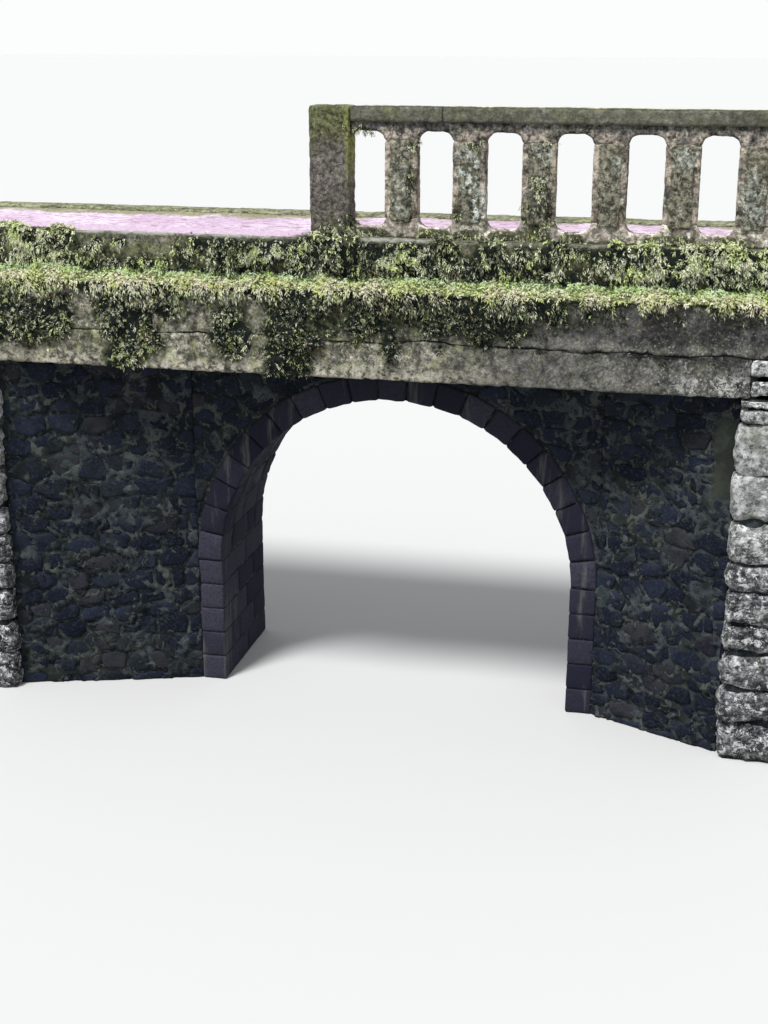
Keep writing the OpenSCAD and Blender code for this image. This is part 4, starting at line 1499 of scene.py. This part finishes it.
class BRIDGE_OT_arch(bpy.types.Operator):
    """Sets the arch stones, the vault's lining and the stones of its piers"""
    bl_idname = "bridge.arch"
    bl_label = "Arch"

    def execute(self, context):
        random = np.random.RandomState(31)
        face_l = RING_HIGH.y - RING_LOW.y
        for node in ("arch_ring_near", "arch_ring_far", "arch_barrel", "arch_pier_left", "arch_pier_right"):
            give_finish(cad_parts[node], "mortar")
        for name, y0 in (("arch_stones_near", RING_LOW.y - RING_PROUD),
                         ("arch_stones_far", FAR_RING_HIGH.y + RING_PROUD - face_l)):
            pile = MeshPile()
            for i in range(ARCH_STONES):
                y = y0 + random.uniform(-0.004, 0.004)
                arch_stone(pile, i, y, face_l - STONE_JOINT, random, radius=0.02, proud=0.006)
            install(pile.piece(name), "dressed")
        pile = MeshPile()
        start, end = BARREL_LOW.y - 0.004, BARREL_HIGH.y + 0.004
        for i in range(ARCH_STONES):
            y = start
            split = start + (end - start) * random.uniform(0.35, 0.65)
            for stop in (split, end):
                arch_stone(pile, i, y, stop - y - STONE_JOINT, random, radius=0.012, proud=0.004, step=0.08)
                y = stop
        install(pile.piece("vault_stones"), "dressed")
        for side, name in ((-1, "pier_stones_left"), (1, "pier_stones_right")):
            pile = MeshPile()
            z = 0.0
            height = SPRING_Z / PIER_COURSES
            for k in range(PIER_COURSES):
                cuts = [Y_ARCH - 0.012, Y_ARCH + (0.36 if k % 2 else 0.55), Y_BACK + 0.012]
                if k % 2:
                    cuts.insert(2, Y_ARCH + 0.72)
                for a, b in zip(cuts, cuts[1:]):
                    size = (RING_T + 0.004, b - a - PIER_JOINT, height - PIER_JOINT)
                    verts, faces, _ = rounded_block(size, 0.014, 0.06)
                    x0 = ARCH_X + (ARCH_R - 0.006 if side > 0 else -ARCH_OUT + 0.002)
                    world = verts + np.array([x0, a, z])
                    world = weather(world, world.mean(axis=0), 0.006, 73)
                    world[:, 2] = np.maximum(world[:, 2], 0.0)
                    pile.add(world, faces, random.rand())
                z += height
            install(pile.piece(name), "dressed")
        return {"FINISHED"}


# How far the mortar lies behind the faces of a pillar's blocks, and the height of a sunk joint
CORE_INSET, SUNK_JOINT = 0.042, 0.012


def plain_box(low, high):
    """Corners and faces of a box."""
    verts = [(x, y, z) for x in (low[0], high[0]) for y in (low[1], high[1]) for z in (low[2], high[2])]
    faces = [(0, 1, 3, 2), (4, 6, 7, 5), (0, 4, 5, 1), (2, 3, 7, 6), (0, 2, 6, 4), (1, 5, 7, 3)]
    return verts, faces


def pillar_levels(node):
    """Where the pillar's courses part, read from the sunk joints of the CAD node."""
    levels = sorted(set(np.round(coordinates(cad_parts[node])[:, 2], 3)))
    joints = [z for z in levels if any(abs(z + SUNK_JOINT - other) < 0.002 for other in levels)]
    return sorted(set([0.0] + joints + [Z_BEAM]))


class BRIDGE_OT_pillars(bpy.types.Operator):
    """Sets the rock-faced blocks of the two pillars"""
    bl_idname = "bridge.pillars"
    bl_label = "Pillars"

    def execute(self, context):
        for node, name, seed in (("pillar_left", "pillar_blocks_left", 51),
                                 ("pillar_right", "pillar_blocks_right", 52)):
            random = np.random.RandomState(seed)
            low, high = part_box(node)
            tops = pillar_levels(node)
            pile = MeshPile()
            for k, (bottom, top) in enumerate(zip(tops, tops[1:])):
                if top - bottom < 0.04:
                    continue
                split = [low.x, high.x]
                if k % 2 and top - bottom < 0.3:
                    split.insert(1, low.x + (high.x - low.x) * random.uniform(0.38, 0.62))
                for a, b in zip(split, split[1:]):
                    self.block(pile, a, b, low.y, high.y, bottom, top, random)
            bearing = low.x if node == "pillar_left" else high.x
            inner = BEAM_LOW.x if node == "pillar_left" else BEAM_HIGH.x
            start, end = sorted((bearing, inner))
            middle = (Z_BEAM + Z_CRACK) / 2 + random.uniform(-0.02, 0.02)
            for bottom, top in ((Z_BEAM, middle), (middle, Z_CRACK)):
                self.block(pile, start, end, low.y, high.y, bottom, top, random)
            blocks = pile.piece(name)
            apply_modifier(blocks, "DECIMATE", ratio=0.62)
            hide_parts(node)
            install(blocks, "block")
            core = MeshPile()
            core.add(*plain_box((low.x + CORE_INSET, low.y + CORE_INSET, 0.001),
                                (high.x - CORE_INSET, high.y - 0.01, Z_BEAM - 0.002)))
            core.add(*plain_box((start + CORE_INSET, low.y + CORE_INSET, Z_BEAM - 0.002),
                                (end - CORE_INSET, high.y - 0.01, Z_CRACK - 0.002)))
            install(core.piece(name + "_core"), "mortar")
        return {"FINISHED"}

    def block(self, pile, x0, x1, y0, y1, z0, z1, random):
        """One squared block with a rough, slightly swelling face."""
        inset = random.uniform(0.0, 0.022)
        joint = random.uniform(0.010, 0.021)
        low = np.array([x0 - 0.002, y0 + inset, z0 + joint])
        high = np.array([x1 + 0.002, y1 - 0.004, z1 - joint])
        size = high - low
        verts, faces, outward = rounded_block(size, min(0.042, size.min() * 0.36), 0.027)
        world = verts + low
        centre = (low + high) / 2
        edge = (size / 2 - np.abs(world - centre)) + np.abs(outward)
        swell = smooth_step(0.0, 0.06, edge.min(axis=1))
        rock = rough_noise(world * np.array([1.0, 1.0, 1.5]), 0.17, 77, 4) - 0.5
        ridge = np.abs(rough_noise(world * np.array([1.0, 1.0, 2.2]), 0.11, 91, 3) - 0.5)
        shift = rock * 0.085 * (0.45 + 0.55 * swell) + swell * 0.012 - ridge * 0.07 * swell
        shift = np.clip(shift, -0.028, 0.028)
        world = world + outward * shift[:, None]
        world[:, 2] = np.maximum(world[:, 2], 0.0 if z0 < 0.001 else z0 - 0.002)
        dents = smooth_step(-0.010, -0.026, shift)
        smooth = DAMP_TOP < centre[2] + 0.1 and size[2] > 0.18
        tone = random.rand() * (0.36 if smooth else 0.62) + (0.0 if smooth else 0.38)
        pile.add(world, faces, tone, dents)


class BRIDGE_OT_castings(bpy.types.Operator):
    """Weathers the edge beams, the kerb, the plinth, the far edge and the deck"""
    bl_idname = "bridge.castings"
    bl_label = "Concrete castings"

    def execute(self, context):
        wear = context.scene.bridge_sizes.arris_wear
        for name, node, grain, slot, kind, seed in (
                ("beam_lower_cast", "edge_beam_lower", 0.013, "concrete", "beam", 81),
                ("beam_upper_cast", "edge_beam_upper", 0.015, "mossy_concrete", "beam", 82),
                ("kerb_cast", "kerb_left", 0.014, "mossy_concrete", "kerb", 83),
                ("plinth_cast", "plinth", 0.015, "mossy_concrete", "kerb", 84),
                ("far_beam_cast", "far_edge_beam", 0.03, "concrete", "far", 85),
                ("far_kerb_cast", "far_kerb", 0.03, "mossy_concrete", "far", 86)):
            piece = cast_piece(name, node, grain, wear, rough=0.006, keep=0.5)
            pit_surface(piece, 0.006, seed)
            if kind == "beam":
                self.waver_joint(piece, Z_CRACK)
            co, normals = coordinates(piece), vertex_normals(piece)
            front = smooth_step(-0.5, -0.9, normals[:, 1] - normals[:, 2].clip(0, 1))
            front = front * smooth_step(Y_PLINTH + 0.09, Y_PLINTH + 0.04, co[:, 1])
            cover = moss_cover(co) * front if kind in ("beam", "kerb") else co[:, 0] * 0
            paint(piece, "cover", cover)
            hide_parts(node)
            install(piece, kind)
        deck = cast_piece("deck_grit_layer", "deck_surface", 0.024, 0.006, rough=0.009, chips=0.004,
                          keep=0.5)
        pit_surface(deck, 0.006, 87)
        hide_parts("deck_surface")
        install(deck, "deck")
        self.fill_haunch()
        return {"FINISHED"}

    def waver_joint(self, piece, level, reach=0.08):
        """Lets the joint between two castings wander up and down, and paints the way to it."""
        co = coordinates(piece)
        paint(piece, "joint", co[:, 2] - level)
        along = co * np.array([1.0, 0.0, 0.0])
        shift = (rough_noise(along, 0.32, 43, 4) - 0.5) * 0.085
        near = 1 - smooth_step(0.0, reach, np.abs(co[:, 2] - level))
        middle = smooth_step(BEAM_HIGH.x - 0.02, BEAM_HIGH.x - 0.16, np.abs(co[:, 0]))
        co[:, 2] += shift * near * middle
        set_coordinates(piece, co)

    def fill_haunch(self):
        """The mortar that carries the deck's near margin behind the plinth and the kerb."""
        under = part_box("deck_surface")[0].z
        lap = 0.004
        pile = MeshPile()
        pile.add(*plain_box((LOW.x + lap, PLINTH_HIGH.y - lap, Z_LEDGE_BACK - lap),
                            (HIGH.x - lap, Y_ARCH + lap, under + lap)))
        install(pile.piece("deck_haunch"), "mortar")


class BRIDGE_OT_balustrade(bpy.types.Operator):
    """Weathers the posts, the balusters, the bands and the top rail"""
    bl_idname = "bridge.balustrade"
    bl_label = "Balustrade"

    def execute(self, context):
        wear = context.scene.bridge_sizes.arris_wear
        for name, node, kind, grain, keep, seed in (
                ("post_cast_left", "end_post_left", "post", 0.010, 0.6, 91),
                ("post_cast_right", "end_post_right", "post", 0.014, 0.5, 92),
                ("foot_band_cast", "foot_band", "band", 0.010, 0.5, 93),
                ("header_band_cast", "header_band", "header", 0.012, 0.5, 94),
                ("top_rail_cast", "top_rail", "rail", 0.012, 0.6, 95)):
            piece = cast_piece(name, node, grain, wear, rough=0.005, chips=0.014, keep=keep)
            pit_surface(piece, 0.005, seed)
            if kind == "header":
                self.raise_top(piece, 0.014)
            paint(piece, "cover", tuft_cover(coordinates(piece)))
            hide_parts(node)
            install(piece, kind)
        for seed, node in enumerate(BALUSTER_NAMES):
            piece = cast_piece(node + "_cast", node, 0.0085, wear * 0.5, rough=0.005, chips=0.008)
            pit_surface(piece, 0.004, 96 + seed)
            co = coordinates(piece)
            low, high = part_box(node)
            shaft_low, shaft_high = low.z + PANEL_LAP_FOOT, high.z - PANEL_LAP_HEADER
            middle, half = (shaft_low + shaft_high) / 2, (shaft_high - shaft_low) / 2
            foot_y, foot_half = (FOOT_LOW.y + FOOT_HIGH.y) / 2, (FOOT_HIGH.y - FOOT_LOW.y) / 2
            inside = np.abs(co[:, 1] - foot_y) < foot_half - 0.004
            reach = np.abs(co[:, 2] - middle) / half
            co[:, 2] += np.sign(co[:, 2] - middle) * smooth_step(0.95, 1.0, reach) * 0.012 * inside
            set_coordinates(piece, co)
            self.paint_growth(piece, co)
            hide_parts(node)
            install(piece, "baluster")
        return {"FINISHED"}

    def raise_top(self, piece, rise):
        """Beds the top of a casting in the one above it, so that no light shows between them."""
        co = coordinates(piece)
        top = co[:, 2].max()
        co[:, 2] += rise * smooth_step(top - 0.03, top - 0.01, co[:, 2])
        set_coordinates(piece, co)

    def paint_growth(self, piece, co):
        """Marks the lichen patches, and the mossy parts as dark moss with painted shade, on one baluster.
        """
        lichen, growth = np.zeros(len(co)), tuft_cover(co)
        for middle, level, half_w, half_h, strength in LICHEN:
            away = np.hypot((co[:, 0] - middle) / half_w, (co[:, 2] - level) / half_h)
            lichen = np.maximum(lichen, strength * (1 - smooth_step(0.5, 1.2, away)))
        paint(piece, "lichen", lichen)
        paint(piece, "shade", growth)


# Pale lichen on the balusters: middle, level, half width, half height, strength
LICHEN = (
    (0.84, 3.63, 0.07, 0.12, 1.0), (0.77, 3.86, 0.09, 0.16, 0.7), (0.33, 3.72, 0.08, 0.22, 0.25),
    (1.24, 3.96, 0.08, 0.07, 0.5), (1.72, 3.9, 0.05, 0.08, 0.3), (2.12, 3.95, 0.08, 0.1, 0.3),
    (2.55, 3.7, 0.1, 0.2, 0.4),
)
# How far the raised panels lap over the foot band and the header band
PANEL_LAP_FOOT, PANEL_LAP_HEADER = 0.030, 0.014


class BRIDGE_OT_moss(bpy.types.Operator):
    """Grows the moss on the kerb, the ledge, the beam's face and the balustrade"""
    bl_idname = "bridge.moss"
    bl_label = "Moss"

    def execute(self, context):
        sizes = context.scene.bridge_sizes
        middle = POST_HIGH.x
        for part, x_start, x_end, seed in (
                ("left", LOW.x + 0.012, middle, 61), ("right", middle, HIGH.x - 0.012, 62)):
            bed, arrays = moss_bed("moss_bed_" + part, x_start, x_end, sizes.moss_thickness)
            install(bed, "moss_bed")
            self.grow("moss_" + part, arrays, sizes.sprig_density, sizes.sprig_length, seed)
        parts = []
        castings = ["foot_band_cast", "header_band_cast", "post_cast_left", "post_cast_right"]
        for name in castings + [n + "_cast" for n in BALUSTER_NAMES]:
            co, normals, tris = surface_arrays(bpy.data.objects[name])
            near = smooth_step(0.1, -0.5, normals[:, 1] - 0.8 * normals[:, 2].clip(0, 1))
            weights = smooth_step(0.25, 0.8, tuft_cover(co)) * near * (co[:, 2] < TUFT_TOP)
            if weights.max() > 0:
                parts.append((co, normals, tris, weights))
        starts = np.cumsum([0] + [len(part[0]) for part in parts])
        arrays = [np.concatenate([part[k] for part in parts]) for k in (0, 1)]
        arrays.append(np.concatenate([part[2] + start for part, start in zip(parts, starts)]))
        arrays.append(np.concatenate([part[3] for part in parts]))
        self.grow("moss_tufts", arrays, sizes.sprig_density * 0.75, sizes.sprig_length * 0.68, 63)
        return {"FINISHED"}

    def grow(self, name, arrays, density, length, seed):
        """One object of sprigs over the places that the weights mark."""
        random = np.random.RandomState(seed)
        roots, facing = surface_samples(*arrays, density, random)
        sideways = smooth_step(Z_LEDGE - 0.06, Z_LEDGE - 0.15, roots[:, 2])
        spread = 0.38 - 0.18 * sideways * smooth_step(-0.1, 0.4, roots[:, 0])
        stray = random.normal(size=len(roots)) * spread
        light = np.clip(moss_light(roots, facing) + stray, 0.0, 1)
        steep = 1 - np.clip(facing[:, 2], 0, 1)
        hanging = smooth_step(Z_LEDGE_BACK, Z_LEDGE - 0.02, roots[:, 2])
        flat = 1 - 0.35 * smooth_step(0.5, 0.9, facing[:, 2])
        lengths = length * (0.75 + 0.75 * rough_noise(roots, 0.14, seed))
        lengths = lengths * (1 + 0.3 * (hanging - sideways)) * flat
        droop = 0.25 + 0.4 * steep + 0.15 * hanging - 0.5 * sideways
        piece = moss_sprigs(name, roots, facing, lengths, droop, sideways, light, random)
        co = coordinates(piece)
        out = Y_BEAM - co[:, 1]
        co[:, 1] = np.where(out > 0, Y_BEAM - MOSS_REACH * np.tanh(out / MOSS_REACH), co[:, 1])
        co[:, 0] = np.clip(co[:, 0], LOW.x - 0.01, HIGH.x + 0.01)
        set_coordinates(piece, co)
        install(piece, "moss")


# How far the moss stands out from the beam's face, and the highest tufts on the balustrade
MOSS_REACH, TUFT_TOP = 0.065, 4.14


# The floor: its width, how far it lies below height 0, its colour in the light and as seen
FLOOR_WIDTH, FLOOR_DROP = 400, 0.002
FLOOR_LIT, FLOOR_SEEN = (0.30, 0.30, 0.29), (0.78, 0.78, 0.77)
# The sky's light and its strength, and the sky as seen
SKY_LIGHT, SKY_STRENGTH = (0.93, 0.96, 1.0, 1.0), 0.44
SKY_SEEN = (0.975, 0.982, 0.985, 1.0)
# The sun's strength, and its width, lean and turn in degrees
SUN_STRENGTH, SUN_WIDTH, SUN_LEAN, SUN_TURN = 2.9, 14, 30, -28
# The camera's place in metres, its turns in degrees and its lens
CAMERA_PLACE, PITCH_DOWN, YAW_LEFT = (2.3965, -10.21, 4.764), 18.176, 12.767
FOCAL_PX, PICTURE_PX, SENSOR_MM = 1500.0, 1024.0, 36.0


class BRIDGE_OT_stage(bpy.types.Operator):
    """Adds the pale floor, the lights and the camera"""
    bl_idname = "bridge.stage"
    bl_label = "Stage"

    def execute(self, context):
        deselect_all()
        bpy.ops.mesh.primitive_plane_add(size=FLOOR_WIDTH, location=(0, 0, -FLOOR_DROP))
        floor = context.active_object
        floor.name = "floor"
        f = Finish("pale_floor", 0.9)
        floor.data.materials.append(f.done(f.mix(self.seen(f.nodes, f.links), FLOOR_LIT, FLOOR_SEEN)))
        world = bpy.data.worlds.new("sky")
        context.scene.world = world
        world.use_nodes = True
        nodes, links = world.node_tree.nodes, world.node_tree.links
        light = nodes["Background"]
        light.inputs["Color"].default_value = SKY_LIGHT
        light.inputs["Strength"].default_value = SKY_STRENGTH
        view = nodes.new("ShaderNodeBackground")
        view.inputs["Color"].default_value = SKY_SEEN
        both = nodes.new("ShaderNodeMixShader")
        links.new(self.seen(nodes, links), both.inputs[0])
        links.new(light.outputs[0], both.inputs[1])
        links.new(view.outputs[0], both.inputs[2])
        links.new(both.outputs[0], nodes["World Output"].inputs[0])
        sun = bpy.data.lights.new("high_sun", "SUN")
        sun.energy = SUN_STRENGTH
        sun.angle = math.radians(SUN_WIDTH)
        lamp = bpy.data.objects.new("high_sun", sun)
        lamp.rotation_euler = (math.radians(SUN_LEAN), 0, math.radians(SUN_TURN))
        context.scene.collection.objects.link(lamp)
        camera = bpy.data.objects.new("camera", bpy.data.cameras.new("camera"))
        camera.data.sensor_width = SENSOR_MM
        camera.data.lens = FOCAL_PX / PICTURE_PX * SENSOR_MM
        camera.location = CAMERA_PLACE
        camera.rotation_euler = (math.radians(90 - PITCH_DOWN), 0, math.radians(YAW_LEFT))
        context.scene.collection.objects.link(camera)
        context.scene.camera = camera
        context.scene.view_settings.view_transform = "Standard"
        return {"FINISHED"}

    def seen(self, nodes, links):
        """1 where a ray comes from the camera, a reflection or a clear body."""
        path = nodes.new("ShaderNodeLightPath")
        share = path.outputs["Is Camera Ray"]
        for name in ("Is Glossy Ray", "Is Transmission Ray"):
            most = nodes.new("ShaderNodeMath")
            most.operation = "MAXIMUM"
            links.new(share, most.inputs[0])
            links.new(path.outputs[name], most.inputs[1])
            share = most.outputs[0]
        return share


class BRIDGE_PT_panel(bpy.types.Panel):
    """Lists the steps that dress the bridge"""
    bl_idname = "BRIDGE_PT_panel"
    bl_label = "Footbridge"
    bl_space_type = "VIEW_3D"
    bl_region_type = "UI"
    bl_category = "Bridge"

    def draw(self, context):
        for step in STEPS:
            self.layout.operator(step.bl_idname)
        for group in (context.scene.bridge_sizes, context.scene.bridge_colours):
            for name in group.__annotations__:
                self.layout.prop(group, name)


STEPS = (BRIDGE_OT_walls, BRIDGE_OT_arch, BRIDGE_OT_pillars, BRIDGE_OT_castings,
         BRIDGE_OT_balustrade, BRIDGE_OT_moss, BRIDGE_OT_stage)
CLASSES = (BridgeSizes, BridgeColours) + STEPS + (BRIDGE_PT_panel,)


def register():
    """Makes the settings, the steps and the panel known to Blender."""
    for item in CLASSES:
        bpy.utils.register_class(item)
    bpy.types.Scene.bridge_sizes = bpy.props.PointerProperty(type=BridgeSizes)
    bpy.types.Scene.bridge_colours = bpy.props.PointerProperty(type=BridgeColours)


def unregister():
    """Takes them away again."""
    del bpy.types.Scene.bridge_colours
    del bpy.types.Scene.bridge_sizes
    for item in reversed(CLASSES):
        bpy.utils.unregister_class(item)


def main():
    """Runs every step."""
    register()
    bpy.ops.bridge.walls()
    bpy.ops.bridge.arch()
    bpy.ops.bridge.pillars()
    bpy.ops.bridge.castings()
    bpy.ops.bridge.balustrade()
    bpy.ops.bridge.moss()
    bpy.ops.bridge.stage()


if __name__ == "__main__":
    main()
